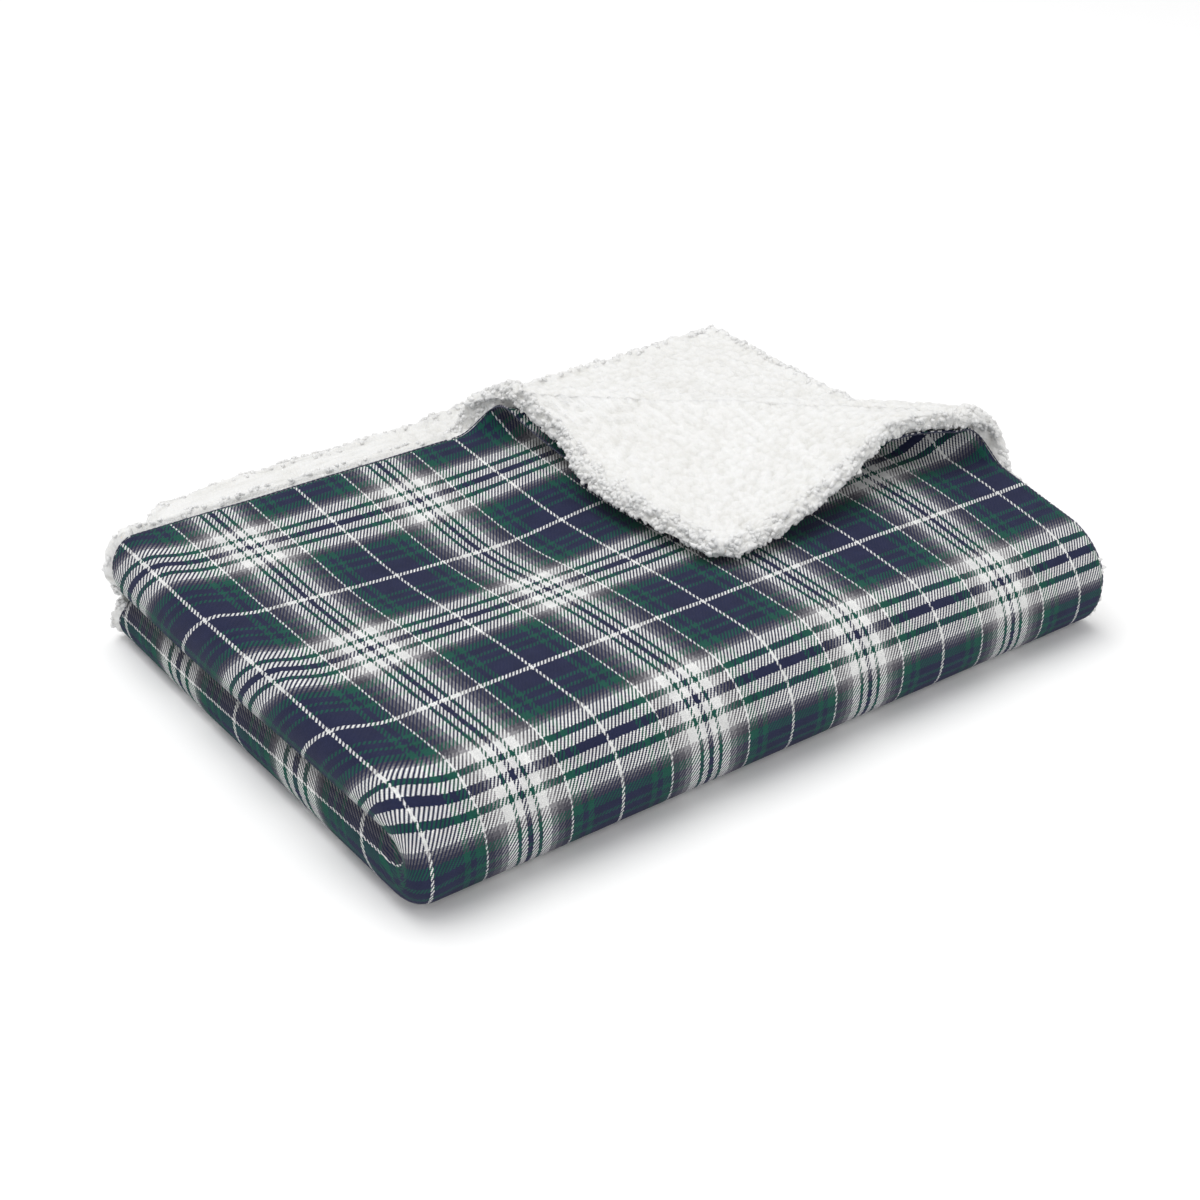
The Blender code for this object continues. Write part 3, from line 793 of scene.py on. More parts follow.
@dataclass
class FaceCloth:
    """The plaid panel, in the pieces between which the blanket's folds open."""

    stack: FoldedStack
    finish: bpy.types.Material
    grid: float = 0.004
    fold_steps: int = 30
    roll_steps: int = 14
    edge_turn: float = 0.0045  # width over which the cloth turns down into the edge seam
    edge_drop: float = 0.0016

    def lines_along(self, low: float, high: float) -> Array:
        """Grid lines along the cloth, close together round the left fold and at the edges."""
        arc = self.stack.fold_arc
        knots = [low, *(value for value in (-arc, arc) if low < value < high), high]
        lines = [low]
        for start, end in zip(knots[:-1], knots[1:]):
            step = 2 * arc / self.fold_steps if abs(start + end) < arc else self.grid
            edge = 0.006 if max(abs(start), abs(end)) > arc * 1.01 else 0.0
            fine = 0.001 if edge else step
            lines.extend(graded(start, end, step, fine, edge * (start == low), edge * (end == high))[1:])
        return np.array(lines)

    def turned_down(self, depth: float, edge: Array) -> Array:
        """Depth of the cloth, more where it turns down at a free edge."""
        near = np.clip(1 - edge / self.edge_turn, 0, 1)
        return depth + self.edge_drop * near * near

    def shell(self, name: str, place: Place, rows: Array, columns: Array, edge: Array, pattern: Array,
              flat: Sequence[float], carrier: str | Bend, *nodes: str) -> None:
        """Makes one piece of the cloth.

        Args:
            name: Its name.
            place: Lays pattern places and depths.
            rows: First pattern term at each grid point.
            columns: Second pattern term at each grid point.
            edge: Distance to the nearest free edge at each grid point.
            pattern: Place on the flat blanket at each grid point.
            flat: Width and length of the piece while flat; not used.
            carrier: The body that it moves with, or its bend.
            *nodes: The nodes that it stands for.
        """
        outer = place(rows, columns, self.turned_down(0.0, edge))
        inner = place(rows, columns, self.turned_down(self.stack.face, edge))
        piece = make_body(name, outer, inner, pattern, self.finish)
        mount(piece, carrier, "plaid_twill", *nodes)

    @staticmethod
    def flat_area(pattern: Array) -> float:
        """Area of a grid of pattern places."""
        first, second = pattern[1:, 1:] - pattern[:-1, :-1], pattern[1:, :-1] - pattern[:-1, 1:]
        return float(np.abs(first[..., 0] * second[..., 1] - first[..., 1] * second[..., 0]).sum() / 2)

    def back_of(self, along: Array, corner_gone: bool) -> Array:
        """y where the cloth ends at the back: its edge, or the start of the roll."""
        stack = self.stack
        back = stack.back(along)
        if corner_gone:
            x = stack.section(along, np.zeros_like(along))[0]
            back = np.where(along > 0, np.minimum(back, stack.crease_y(x)), back)
        return back

    def half(self, name: str, place: Place, sign: int, *nodes: str) -> None:
        """The cloth of the upper or the lower half.

        Args:
            name: Name of the piece.
            place: Lays pattern places and depths.
            sign: 1 for the upper half, -1 for the lower one.
            *nodes: The nodes that it stands for.
        """
        stack = self.stack
        along = self.lines_along(-stack.half_length, stack.half_length)
        back = self.back_of(along, sign > 0)
        width = 2 * stack.fold_arc + 0.3  # about the distance from the front fold to the back edge
        share = graded(0, 1, self.grid / width, 0.003, 0, 0.02)
        along_grid, share_grid = np.meshgrid(along, share, indexing="ij")
        y = stack.fold_y + share_grid * (back[:, None] - stack.fold_y)
        edge = np.minimum(stack.back(along)[:, None] - y, stack.half_length - np.abs(along_grid))
        over = sign * (stack.wrap_length(along_grid) + y - stack.fold_y)
        pattern = np.stack([along_grid - (stack.skew if sign < 0 else 0.0), over], -1)
        flat, bend = np.ptp(pattern, axis=(0, 1)), Bend.across_front(stack, sign)
        self.shell(name, place, along_grid, y, edge, pattern, flat, bend, *nodes)

    def front(self) -> None:
        """The cloth round the front fold."""
        stack = self.stack
        along = self.lines_along(-stack.half_length, stack.half_length)
        turn = np.linspace(0, 1, self.fold_steps + 1)
        along_grid, turn_grid = np.meshgrid(along, turn, indexing="ij")
        edge = stack.half_length - np.abs(along_grid)
        over = stack.wrap_length(along_grid) * (1 - 2 * turn_grid)
        pattern = np.stack([along_grid - stack.skew * eased(turn_grid), over], -1)
        flat, bend = np.ptp(pattern, axis=(0, 1)), Bend.across_front(stack, 0)
        self.shell(
            "plaid_front_fold", stack.front, along_grid, turn_grid, edge, pattern, flat, bend,
            "face_cloth_front_fold",
        )

    def corner_piece(self, name: str, past: Array, carrier: str | Bend) -> None:
        """The cloth of a stretch of the turned corner."""
        stack = self.stack
        across = graded(0, 1, self.grid / stack.corner_span, 0.003, 0.02, 0.02)
        past_grid, across_grid = np.meshgrid(past, across, indexing="ij")
        x, y = stack.corner_flat(past_grid, across_grid, 0.0)
        edge = np.minimum(np.minimum(stack.back_outer - y, stack.side_x - x), stack.tip - past_grid)
        along = stack.to_along(x)
        over = stack.wrap_length(along) + y - stack.fold_y
        ends = stack.across_line(np.full(2, past[0]), np.array((0.0, 1.0)), 0.0)
        flat = (past[-1] - past[0], ends[1] - ends[0])
        pattern = np.stack([along, over], -1)
        self.shell(
            f"plaid_{name}", stack.corner, past_grid, across_grid, edge, pattern, flat, carrier,
            f"face_cloth_{name}",
        )

    def build(self) -> None:
        """Makes every piece of the panel."""
        stack = self.stack
        for half, place, sign, layers in (("lower", stack.lower, -1, ("four", "three")),
                                          ("upper", stack.upper, 1, ("one", "two"))):
            nodes = [f"face_cloth_layer_{layer}" for layer in layers]
            self.half(f"plaid_{half}", place, sign, *nodes, f"face_cloth_{half}_left_fold")
        self.front()
        for name, start, stop, bend in Bend.roll_halves(stack):
            self.corner_piece(f"crease_{name}", np.linspace(start, stop, self.roll_steps + 1), bend)
        flat = graded(stack.roll_length, stack.tip, self.grid, 0.001, 0, 0.006)
        self.corner_piece("corner", flat, "turned_corner")


@dataclass
class SherpaBack:
    """The pile panel: soft, clumped slabs with rounded edges that puff out past the plaid."""

    stack: FoldedStack
    finish: bpy.types.Material
    fine: float = 0.0019
    coarse: float = 0.012
    strip: float = 0.030  # width beside a free edge that is made finely
    edge_round: float = 0.0085  # width over which a free edge is rounded
    tip_round: float = 0.013  # the same at the turned corner
    edge_depth: float = 0.06  # share of its depth that the pile keeps at its very edge
    clump: float = 0.0062
    clump_depth: float = 0.0024
    curl: float = 0.0030
    curl_depth: float = 0.0008
    swell: float = 0.017
    swell_depth: float = 0.0008
    rim: float = 0.016  # width beside a free edge where the swells are stronger
    rim_swell_depth: float = 0.0012  # how much stronger
    rim_plump: float = 0.0012  # how much the pile stands out there
    rim_shown: float = 0.020  # width of the rim that is carved even where a neighbour covers the rest
    tuft_rim: float = 0.009  # width of the rim that bears loose tufts
    tuft_density: float = 70_000.0  # loose tufts to a square metre
    tuft_radius: float = 0.00165
    tuft_length: tuple[float, float] = (0.0030, 0.0056)
    tuft_rise: tuple[float, float] = (0.0002, 0.0010)
    tuft_sway: float = 0.0012
    tuft_sunk: float = 0.0008
    floor_squash: float = 0.002  # height under which the pile is pressed together on the ground
    spring: float = 0.0045  # how much deeper the pile stands where nothing lies on it
    open_pile: tuple[float, float] = (-0.03, -0.13)  # from this x and y on, layer two's pile is made finely

    @property
    def middle(self) -> float:
        """Depth of the middle of the pile."""
        return (self.stack.pile_top + self.stack.pile_end) / 2

    @property
    def half_depth(self) -> float:
        """Half the depth of the pile."""
        return (self.stack.pile_end - self.stack.pile_top) / 2

    @property
    def reach(self) -> float:
        """Pattern place of the pile's free side edge."""
        return self.stack.half_length + self.stack.overhang

    def carve(self, surface: Array, core: Array, bare: Array, edge: Array) -> tuple[Array, Array]:
        """Sinks the crevices between the curls into a smooth surface.

        Args:
            surface: Points, rows by columns by 3.
            core: The middle of the pile at the same places.
            bare: 1 where the surface shows, 0 where it lies on a neighbour.
            edge: Distance to the nearest free edge.

        Returns:
            The carved points, and how deep in a crevice each lies.
        """
        flat = surface.reshape(-1, 3)
        clumps = lumps(flat, self.clump, 11).reshape(bare.shape)
        curls = lumps(flat, self.curl, 23).reshape(bare.shape)
        swells = lumps(flat, self.swell, 37).reshape(bare.shape)
        near = np.clip(1 - edge / self.rim, 0, 1)
        sink = self.clump_depth * (1 - clumps) + self.curl_depth * (1 - curls)
        sink += (self.swell_depth + self.rim_swell_depth * near) * (1 - swells) - self.rim_plump * near
        normal = unit(np.cross(np.gradient(surface, axis=0), np.gradient(surface, axis=1)))
        normal *= math.copysign(1.0, ((surface - core) * normal).sum())
        # how deep in a crevice each point lies; the pile's material paints shade into its colour by this
        hollow = np.clip(0.75 * (1 - clumps) + 0.35 * (1 - curls), 0, 1) ** 1.4
        return surface - normal * (sink * bare)[..., None], hollow * bare

    def slab(self, name: str, place: Place, first: Array, second: Array, edge: Array, bare: Sequence[Array],
             carrier: str | Bend, node: str, fluff: Array | float = 0.0,
             puffs: tuple[float, float] = (0.60, 0.15), rounding: float | None = None) -> None:
        """Makes one piece of the pile.

        Args:
            name: Its name.
            place: Lays pattern places and depths.
            first: First pattern term at each grid point.
            second: Second pattern term at each grid point.
            edge: Distance to the nearest free edge of the pile at each grid point.
            bare: How far the backing side and the pile side show, from 0 to 1, at each grid point.
            carrier: The body that it moves with, or its bend.
            node: The node that it stands for.
            fluff: How much deeper the pile stands than where it is pressed.
            puffs: How far each side swells past the plaid's edge, as a share of half the depth.
            rounding: Width over which the free edge is rounded, if not the usual one.
        """
        near = np.clip(1 - edge / (rounding or self.edge_round), 0, 1)
        depth = self.half_depth * np.maximum(np.sqrt(1 - near * near), self.edge_depth)
        core = place(first, second, np.full_like(depth, self.middle))
        loose = 1 - 0.9 * ramp(-core[..., 1], 0.05, 0.11)  # the front fold holds the pile in
        puff = self.half_depth * loose * np.sin(math.pi * np.clip(edge / self.stack.overhang, 0, 1))
        sides, hollows, tufts = [], [], []
        for sign, shows, more in zip((-1, 1), bare, puffs):
            smooth = place(first, second, self.middle + sign * (depth + more * puff + (sign > 0) * fluff))
            shown = np.maximum(shows, eased(1.3 - edge / self.rim_shown))
            carved, hollow = self.carve(smooth, core, shown, edge)
            sides.append(self.off_floor(carved, 0.0))
            hollows.append(hollow.ravel())
            crowd = shown * eased(1.5 - edge / self.tuft_rim)
            tufts.append(self.off_floor(self.tufts(sides[-1], core, crowd), self.tuft_radius))
        piece = make_body(name, *sides, None, self.finish, {"hollow": np.concatenate(hollows)})
        mount(piece, carrier, "sherpa_pile", node)
        loose_tufts = tuft_body(f"{name}_curls", np.concatenate(tufts), self.tuft_radius, self.finish)
        mount(loose_tufts, carrier, "sherpa_pile")

    def off_floor(self, points: Array, clear: float) -> Array:
        """Presses the points that would go below a height together just above it."""
        height = points[..., 2] - clear
        low = self.floor_squash * np.exp(np.minimum(height / self.floor_squash - 1, 0))
        pressed = points.copy()
        pressed[..., 2] = clear + np.where(height < self.floor_squash, low, height)
        return pressed

    def tufts(self, surface: Array, core: Array, crowd: Array) -> Array:
        """Middle lines of the loose tufts that stand on a surface.

        Args:
            surface: Points, rows by columns by 3.
            core: The middle of the pile at the same places.
            crowd: How closely the tufts stand at each point, from 0 to 1.

        Returns:
            Tufts by five points by 3.
        """
        rng = np.random.default_rng(surface.shape[0] * 1009 + surface.shape[1])
        across, down = surface[1:, :-1] - surface[:-1, :-1], surface[:-1, 1:] - surface[:-1, :-1]
        normal = np.cross(across, down)
        area = np.linalg.norm(normal, axis=-1)
        weight = (area * crowd[:-1, :-1]).ravel()
        count = int(weight.sum() * self.tuft_density)
        cells = rng.choice(weight.size, count, p=weight / weight.sum())
        rows, columns = np.divmod(cells, crowd.shape[1] - 1)
        u, v = rng.random((2, count, 1))
        foot = surface[rows, columns] + u * across[rows, columns] + v * down[rows, columns]
        up = normal[rows, columns] / np.maximum(area[rows, columns, None], 1e-15)
        up *= math.copysign(1.0, ((surface - core)[:-1, :-1] * normal).sum())
        swing = rng.normal(size=(count, 3))
        swing = unit(swing - (swing * up).sum(1, keepdims=True) * up)
        length = rng.uniform(*self.tuft_length, (count, 1))
        rise = rng.uniform(*self.tuft_rise, (count, 1))
        sway = rng.uniform(-self.tuft_sway, self.tuft_sway, (count, 1))
        arch = up * rise + np.cross(up, swing) * sway
        foot -= up * self.tuft_sunk
        step = np.linspace(0, 1, 5)[:, None]
        lie, arch = swing * length, arch[:, None] * np.sin(math.pi * step)
        return foot[:, None] + lie[:, None] * (step - 0.5) + arch

    def flat_layer(self, layer: str, place: Place, columns: Array, back: Array, rows: Array, open_from: float,
                   bend: Bend, spring: float = 0.0) -> None:
        """Makes the pile of one flat layer.

        Args:
            layer: Which layer it is.
            place: Lays pattern places and depths.
            columns: Grid lines along the cloth.
            back: y of the back end at each of them.
            rows: Grid lines as shares of the way to the back.
            open_from: How far past the start of the roll the pile begins to show.
            bend: Its bend.
            spring: How much deeper it stands where nothing lies on it.
        """
        stack = self.stack
        along, share = np.meshgrid(columns, rows, indexing="ij")
        y = stack.fold_y + share * (back[:, None] - stack.fold_y)
        rim = np.where(columns > 0, stack.back_outer, stack.back(columns))[:, None]
        edge = np.minimum(rim + stack.overhang - y, self.reach - np.abs(along))
        x = stack.section(along, np.zeros_like(along))[0]
        past = (x - stack.roll_start[0]) * stack.square[0] + (y - stack.roll_start[1]) * stack.square[1]
        bare = ramp(past, open_from, open_from + 0.02)
        fluff = spring * ramp(past, 0.035, 0.085)
        self.slab(
            f"sherpa_pile_{layer}", place, along, y, edge, (np.zeros_like(bare), bare), bend,
            f"sherpa_layer_{layer}", fluff,
        )

    def packed(self, lines: Array, end: float, span: float = 1.0) -> Array:
        """Grid lines with extra ones packed into the rounded end.

        Args:
            lines: The lines.
            end: Where they end.
            span: Metres in a unit of theirs.

        Returns:
            All the lines, in order.
        """
        angles = np.linspace(0, math.pi / 2, 7)
        near_end = end - self.edge_round / span * (1 - np.sin(angles))
        return np.unique(np.concatenate([lines[lines < near_end[0] - 1e-5], near_end]))

    def shares(self, span: float, strip: float) -> Array:
        """Grid lines as shares of a span, fine in a strip at its rounded end."""
        return self.packed(graded(0, 1, self.coarse / span, self.fine / span, 0, strip / span), 1.0, span)

    def columns(self, strip: float) -> Array:
        """Grid lines from the left fold to the free side edge, fine in a strip beside it."""
        lines = graded(self.stack.fold_arc, self.reach, self.coarse, self.fine, 0, strip)
        return self.packed(lines, self.reach)

    def flats(self) -> None:
        """The pile of the four flat layers."""
        stack = self.stack
        upper, lower = Bend.across_front(stack, 1), Bend.across_front(stack, -1)
        reach = self.reach
        crossing = float(stack.to_along(np.array(stack.crease_back_x - stack.overhang / stack.square[0])))
        outer = self.packed(np.concatenate([
            graded(stack.fold_arc, crossing, self.coarse, self.coarse, 0, 0),
            graded(crossing, reach, 0.006, self.fine, 0, self.strip)[1:],
        ]), reach)
        rows = self.shares(stack.back_outer - stack.fold_y, self.strip)
        back = np.full_like(outer, stack.back_outer + stack.overhang)
        covered = 1.0  # further out than any of the blanket
        self.flat_layer("four", stack.lower, outer, back, rows, covered, lower)
        cut = np.minimum(back, stack.crease_y(stack.section(outer, np.zeros_like(outer))[0]))
        self.flat_layer("one", stack.upper, outer, cut, rows, -0.02, upper)
        open_x, open_y = self.open_pile
        inner = -self.columns(float(reach - stack.to_along(np.array(open_x))))[::-1]
        back = stack.back(inner) + stack.overhang
        bare_rows = self.shares(back.max() - stack.fold_y, stack.back_outer - open_y)
        self.flat_layer("two", stack.upper, inner, back, bare_rows, -0.06, upper, self.spring)
        inner = -self.columns(self.strip)[::-1]
        back = stack.back(inner) + stack.overhang
        self.flat_layer("three", stack.lower, inner, back, rows, covered, lower)
        self.left_fold("upper", stack.upper, upper)
        self.left_fold("lower", stack.lower, lower)

    def left_fold(self, name: str, place: Place, bend: Bend) -> None:
        """The pile inside a left fold."""
        stack = self.stack
        columns = np.linspace(-stack.fold_arc, stack.fold_arc, 33)
        back = stack.back(columns) + stack.overhang
        along, share = np.meshgrid(columns, self.shares(back.max() - stack.fold_y, self.strip), indexing="ij")
        y = stack.fold_y + share * (back[:, None] - stack.fold_y)
        bare = np.zeros_like(y)
        self.slab(
            f"sherpa_pile_{name}_left_fold", place, along, y, back[:, None] - y, (bare, bare), bend,
            f"sherpa_{name}_left_fold",
        )

    def front(self) -> None:
        """The pile round the front fold."""
        stack = self.stack
        side = self.columns(self.strip)
        columns = np.concatenate([-side[::-1], np.linspace(-side[0], side[0], 25)[1:-1], side])
        along, turn = np.meshgrid(columns, np.linspace(0, 1, 53), indexing="ij")
        bare = np.zeros_like(along)
        self.slab(
            "sherpa_pile_front_fold", stack.front, along, turn, self.reach - np.abs(along), (bare, bare),
            Bend.across_front(stack, 0), "sherpa_front_fold",
        )

    def corner_piece(self, name: str, past: Array, carrier: str | Bend) -> None:
        """The pile of a stretch of the turned corner."""
        stack = self.stack
        step = self.fine / stack.corner_span
        across = graded(0, 1, step, step, 0, 0)
        across = np.unique(np.concatenate([across, 0.02 * (1 - np.cos(np.linspace(0, math.pi / 2, 8)))]))
        across = np.unique(np.concatenate([across, 1 - across]))
        past_grid, across_grid = np.meshgrid(past, across, indexing="ij")
        x, y = stack.corner_flat(past_grid, across_grid, stack.overhang)
        edge = np.minimum(stack.back_outer + stack.overhang - y, stack.side_x + stack.overhang - x)
        edge = np.minimum(edge, past.max() - past_grid if name == "corner" else 1.0)
        bare = np.ones_like(edge)

        def place(first: Array, second: Array, depth: Array) -> Array:
            """Lays points of the pile, which reaches past the plaid."""
            return stack.corner(first, second, depth, stack.overhang)

        self.slab(
            f"sherpa_pile_{name}", place, past_grid, across_grid, edge, (0 * bare, bare), carrier,
            f"sherpa_{name}", puffs=(-0.5, 0.25), rounding=self.tip_round if name == "corner" else None,
        )

    def build(self) -> None:
        """Makes every piece of the panel."""
        stack = self.stack
        self.flats()
        self.front()
        for name, start, stop, bend in Bend.roll_halves(stack):
            self.corner_piece(f"crease_{name}", np.linspace(start, stop, 25), bend)
        tip = stack.tip + stack.overhang
        past = self.packed(graded(stack.roll_length, tip, self.fine, self.fine, 0, 0), tip)
        self.corner_piece("corner", past, "turned_corner")


def ring_round(side: Array, over: Array) -> Array:
    """Six directions round each of several axes, from two directions square to it."""
    angles = np.arange(6)[:, None] * math.pi / 3
    return np.cos(angles) * side[:, None] + np.sin(angles) * over[:, None]


def tube_faces(rings: int) -> Array:
    """Faces of a closed tube of six-sided rings, with two quads over each end."""
    index = np.arange(rings * 6).reshape(-1, 6)
    ahead = np.roll(index, -1, 1)
    walls = np.stack([index[:-1], ahead[:-1], ahead[1:], index[1:]], -1).reshape(-1, 4)
    first, last = index[0], index[-1]
    ends = [first[[0, 5, 2, 1]], first[[2, 5, 4, 3]], last[[0, 1, 2, 5]], last[[2, 3, 4, 5]]]
    return np.concatenate([walls, ends])


def tube(name: str, path: Array, radius: Array, finish: bpy.types.Material) -> bpy.types.Object:
    """A closed thread along a path.

    Args:
        name: Name of the piece.
        path: Its middle line, one point per row.
        radius: Its radius at each point.
        finish: Its material.

    Returns:
        The piece.
    """
    ahead = unit(np.gradient(path, axis=0))
    upright = np.tile((0.0, 0.0, 1.0), (len(path), 1))
    upright[np.abs(ahead[:, 2]) > 0.9] = (1.0, 0.0, 0.0)
    side = unit(np.cross(ahead, upright))
    ring = ring_round(side, np.cross(side, ahead))
    points = (path[:, None] + ring * radius[:, None, None]).reshape(-1, 3)
    return link_mesh(name, points, outward(points, tube_faces(len(path))), finish)


def tuft_body(name: str, lines: Array, radius: float, finish: bpy.types.Material) -> bpy.types.Object:
    """Many short tufts of pile in one mesh, each a closed tapered tube.

    Args:
        name: Name of the piece.
        lines: Their middle lines, tufts by five points by 3.
        radius: Radius at their middle.
        finish: Their material.

    Returns:
        The piece.
    """
    ahead = unit(lines[:, -1] - lines[:, 0])
    bow = lines[:, 2] - (lines[:, 0] + lines[:, -1]) / 2
    side = unit(np.cross(ahead, bow))
    ring = ring_round(side, np.cross(side, ahead))
    taper = radius * np.array((0.30, 0.85, 1.0, 0.85, 0.30))
    points = (lines[:, :, None] + ring[:, None] * taper[:, None, None]).reshape(len(lines), -1, 3)
    one = outward(points[0], tube_faces(len(taper)))
    faces = np.arange(len(lines))[:, None, None] * points.shape[1] + one
    return link_mesh(name, points.reshape(-1, 3), faces.reshape(-1, 4), finish)


@dataclass
class SeamsAndLabel:
    """The sewn edge all round the blanket, the hand-closed turning opening and the care label."""

    stack: FoldedStack
    thread: bpy.types.Material
    ribbon: bpy.types.Material
    radius: float = 0.0005
    stitch: float = 0.0035
    outset: float = 0.0007
    opening: float = 0.110
    opening_from_side: float = 0.220
    overhand: tuple[float, float] = (0.005, 0.003)  # pitch and reach of the closing stitches
    label: tuple[float, float] = (0.035, 0.045)
    label_from_side: float = 0.400
    label_gap: float = 0.0014
    label_half: float = 0.00018  # half its thickness
    selvedge: float = 0.00010  # what its woven edges add to that

    @property
    def depth(self) -> float:
        """Depth of the seam below the plaid side."""
        return self.stack.face / 2 + 0.0009

    def sew(self, where: str, path: Array, carrier: str | Bend) -> None:
        """A row of stitches along a path, drawn in where each one ends."""
        steps = np.concatenate([[0], np.cumsum(np.linalg.norm(np.diff(path, axis=0), axis=1))])
        fresh = np.arange(0, steps[-1], self.stitch / 5)
        path = np.stack([np.interp(fresh, steps, path[:, k]) for k in range(3)], 1)
        drawn = 0.55 + 0.45 * np.abs(np.sin(math.pi * fresh / self.stitch))
        stitches = tube(f"edge_stitch_{where}", path, self.radius * drawn, self.thread)
        mount(stitches, carrier, "seam_thread", f"edge_seam_{where}")

    def run(self, place: Place, first: Array, second: Array) -> Array:
        """Points of a seam through one of the stack's maps."""
        first, second = np.broadcast_arrays(first, second)
        return place(first, second, np.full(first.shape, self.depth))

    def edges(self) -> None:
        """The seam along every free edge."""
        stack = self.stack
        side = stack.half_length + self.outset
        upper, lower = Bend.across_front(stack, 1), Bend.across_front(stack, -1)
        along = np.linspace(side, -side, 400)
        front = np.array([stack.fold_y])
        path = [
            self.run(stack.lower, np.array([side]), front),
            self.run(stack.lower, along, stack.back(along) + self.outset),
            self.run(stack.lower, np.array([-side]), front),
        ]
        self.sew("lower", np.concatenate(path), lower)
        along = np.linspace(float(stack.to_along(np.array(stack.crease_back_x))), -side, 300)
        path = [
            self.run(stack.upper, along, stack.back(along) + self.outset),
            self.run(stack.upper, np.array([-side]), front),
        ]
        self.sew("upper_back", np.concatenate(path), upper)
        ends = np.array([stack.fold_y, float(stack.crease_y(np.array(stack.side_x)))])
        self.sew("upper_side", self.run(stack.upper, np.array([side, side]), ends), upper)
        turn = np.linspace(0, 1, 60)
        bend = Bend.across_front(stack, 0)
        for name, where in (("outer", side), ("inner", -side)):
            self.sew(f"front_{name}", self.run(stack.front, np.array([where]), turn), bend)

    def corner(self, past: Array, across: Array) -> Array:
        """Points of a seam on the turned corner."""
        past, across = np.broadcast_arrays(past, across)
        return self.stack.corner(past, across, np.full(past.shape, self.depth), self.outset)

    def corner_edges(self) -> None:
        """The seam along the edges of the turned corner."""
        stack = self.stack
        for half, start, stop, bend in Bend.roll_halves(stack):
            past = np.linspace(start, stop, 30)
            for edge, across in (("back", 0.0), ("side", 1.0)):
                self.sew(f"crease_{edge}_{half}", self.corner(past, np.array(across)), bend)
        out = np.linspace(stack.roll_length, stack.tip + self.outset, 80)
        around = [self.corner(out, np.array(0.0)), self.corner(out[-1:], np.linspace(0, 1, 5)),
                  self.corner(out[::-1], np.array(1.0))]
        self.sew("corner", np.concatenate(around), "turned_corner")

    def closing(self) -> None:
        """Small overhand stitches that close the turning opening in layer four's back seam."""
        stack = self.stack
        middle = stack.side_x - self.opening_from_side
        pitch, reach = self.overhand
        x = np.linspace(middle - self.opening / 2, middle + self.opening / 2, 180)
        swing = np.abs((x - middle) / pitch % 1 - 0.5) * 2
        y = stack.back_outer + 2 * self.outset + reach * swing
        path = np.stack([x, y, 0.0007 + 0.0003 * np.sin(math.pi * swing)], 1)
        piece = tube("closing_stitches", path, np.full(len(x), 0.0003), self.thread)
        mount(piece, "lower_half", "seam_thread", "closing_stitch")

    def care_label(self) -> None:
        """A blank ribbon label folded into the same seam, rippled a little, with woven edges."""
        stack = self.stack
        width, length = self.label
        middle = stack.side_x - self.label_from_side
        u, v = np.meshgrid(np.linspace(-1, 1, 41), np.linspace(0, 1, 49), indexing="ij")
        x = middle + u * width / 2
        y = stack.back_outer + self.label_gap + v * length
        low = 0.0003 + 0.0004 * np.abs(np.sin(2.2 * math.pi * v + 0.6 * u)) * v
        high = low + 2 * (self.label_half + self.selvedge * ramp(np.abs(u), 0.90, 0.96))
        sides = [np.stack([x, y, z], -1) for z in (high, low)]
        piece = make_body("care_label_ribbon", *sides, None, self.ribbon)
        mount(piece, "lower_half", "label_satin", "care_label")

    def build(self) -> None:
        """Makes every stitch and the label."""
        self.edges()
        self.corner_edges()
        self.closing()
        self.care_label()


class Light(Enum):
    """Studio lights: where each stands, its size and its power in watts."""

    OVERHEAD = ((-0.45, 0.75, 3.4), 3.2, 85.0)
    LEFT = ((-2.9, 0.0, 1.9), 2.0, 9.0)
    FRONT = ((0.5, -3.0, 1.8), 2.6, 24.0)


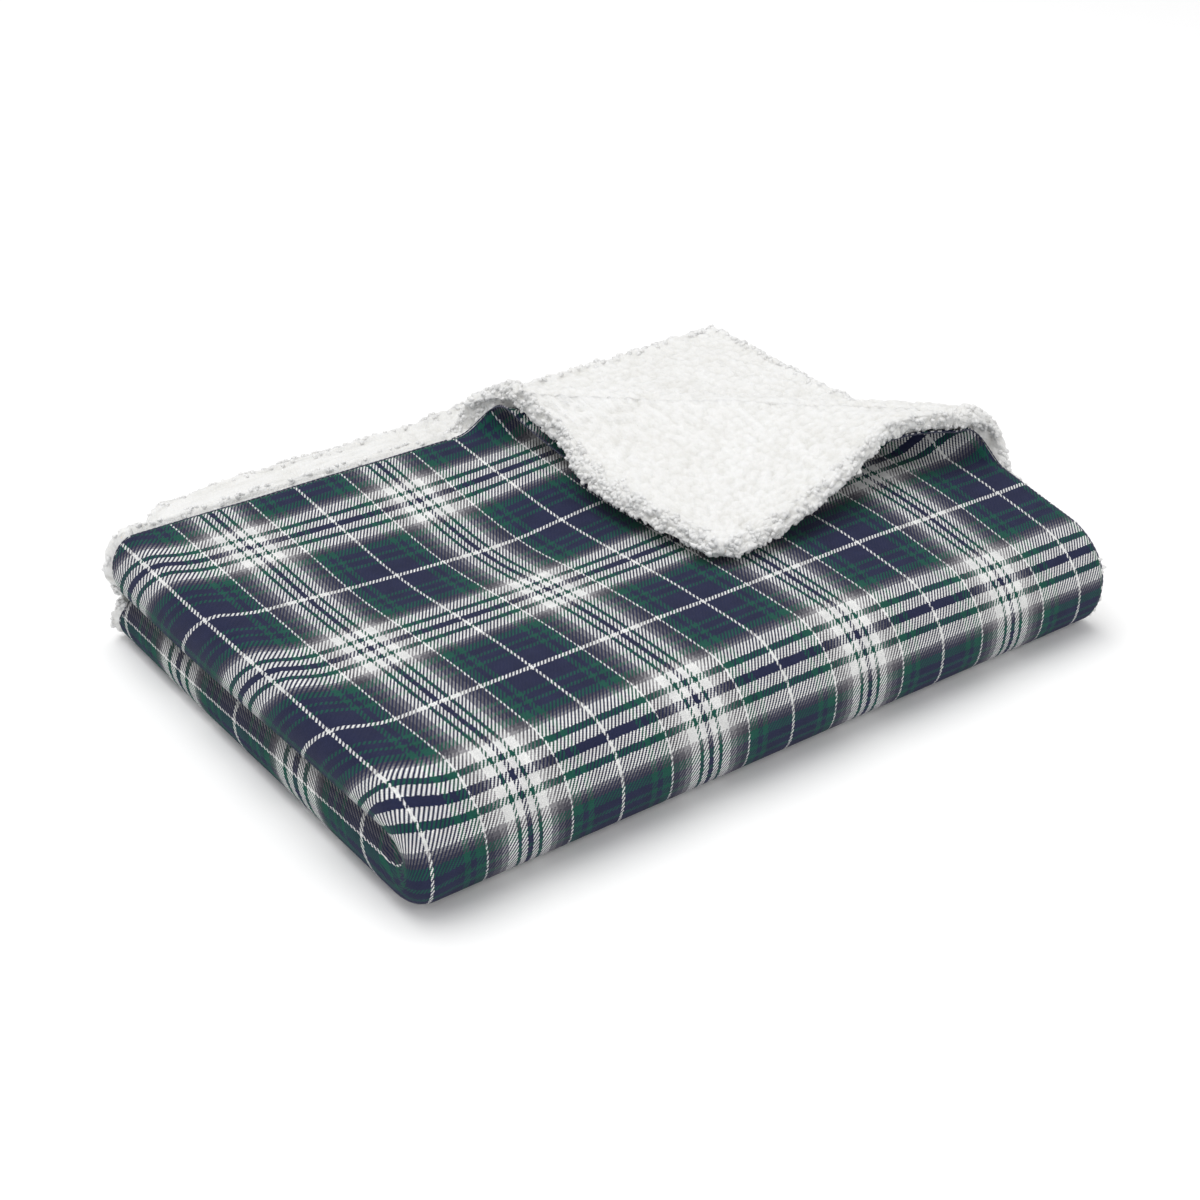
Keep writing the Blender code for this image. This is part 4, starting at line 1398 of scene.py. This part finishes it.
@dataclass
class Studio:
    """Plain pale floor, soft light and the camera."""

    camera_place: tuple[float, float, float] = (-0.6743, -0.9267, 0.6836)
    aim: tuple[float, float, float] = (-0.0248, -0.0345, 0.03)
    lens: float = 64.26
    world: float = 0.54

    def floor(self) -> None:
        """Matt, nearly white ground."""
        bpy.ops.mesh.primitive_plane_add(size=12, location=(0, 0, -0.0004))
        ground = bpy.context.object
        ground.name = "studio_floor"
        graph = Graph("floor_paper")
        place = graph.add("TexCoord").outputs["Object"]
        colour = graph.mix(graph.noise(place, 3.0), (0.965, 0.965, 0.965), (0.98, 0.98, 0.98))
        graph.surface(Base_Color=colour, Roughness=0.95, Specular_IOR_Level=0.1)
        ground.data.materials.append(graph.material)

    def lights(self) -> None:
        """Pale surroundings and three large soft lights."""
        world = bpy.data.worlds.new("studio")
        world.use_nodes = True
        background = world.node_tree.nodes["Background"]
        background.inputs["Color"].default_value = (1, 1, 1, 1)
        background.inputs["Strength"].default_value = self.world
        bpy.context.scene.world = world
        for light in Light:
            place, size, power = light.value
            data = bpy.data.lights.new(light.name.lower(), "AREA")
            data.size = size
            data.energy = power
            lamp = bpy.data.objects.new(data.name, data)
            lamp.location = place
            lamp.rotation_euler = (-Vector(place)).to_track_quat("-Z", "Y").to_euler()
            bpy.context.scene.collection.objects.link(lamp)

    def camera(self) -> None:
        """Camera at the height of someone standing by the blanket."""
        data = bpy.data.cameras.new("camera")
        data.lens = self.lens
        camera = bpy.data.objects.new("camera", data)
        camera.location = self.camera_place
        sight = Vector(self.aim) - Vector(self.camera_place)
        camera.rotation_euler = sight.to_track_quat("-Z", "Y").to_euler()
        bpy.context.scene.collection.objects.link(camera)
        bpy.context.scene.camera = camera

    def build(self) -> None:
        """Sets the stage."""
        self.floor()
        self.lights()
        self.camera()
        bpy.context.scene.view_settings.view_transform = "Standard"


def main() -> None:
    """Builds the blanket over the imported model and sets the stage."""
    logging.basicConfig(level=logging.INFO, format="%(name)s %(message)s")
    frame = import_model()
    stack = FoldedStack.from_frame(frame["joints"])
    FaceCloth(stack, PlaidTwill().material()).build()
    SherpaBack(stack, SherpaPile().material()).build()
    SeamsAndLabel(stack, SpunThread().material(), SatinRibbon().material()).build()
    Studio().build()


if __name__ == "__main__":
    main()
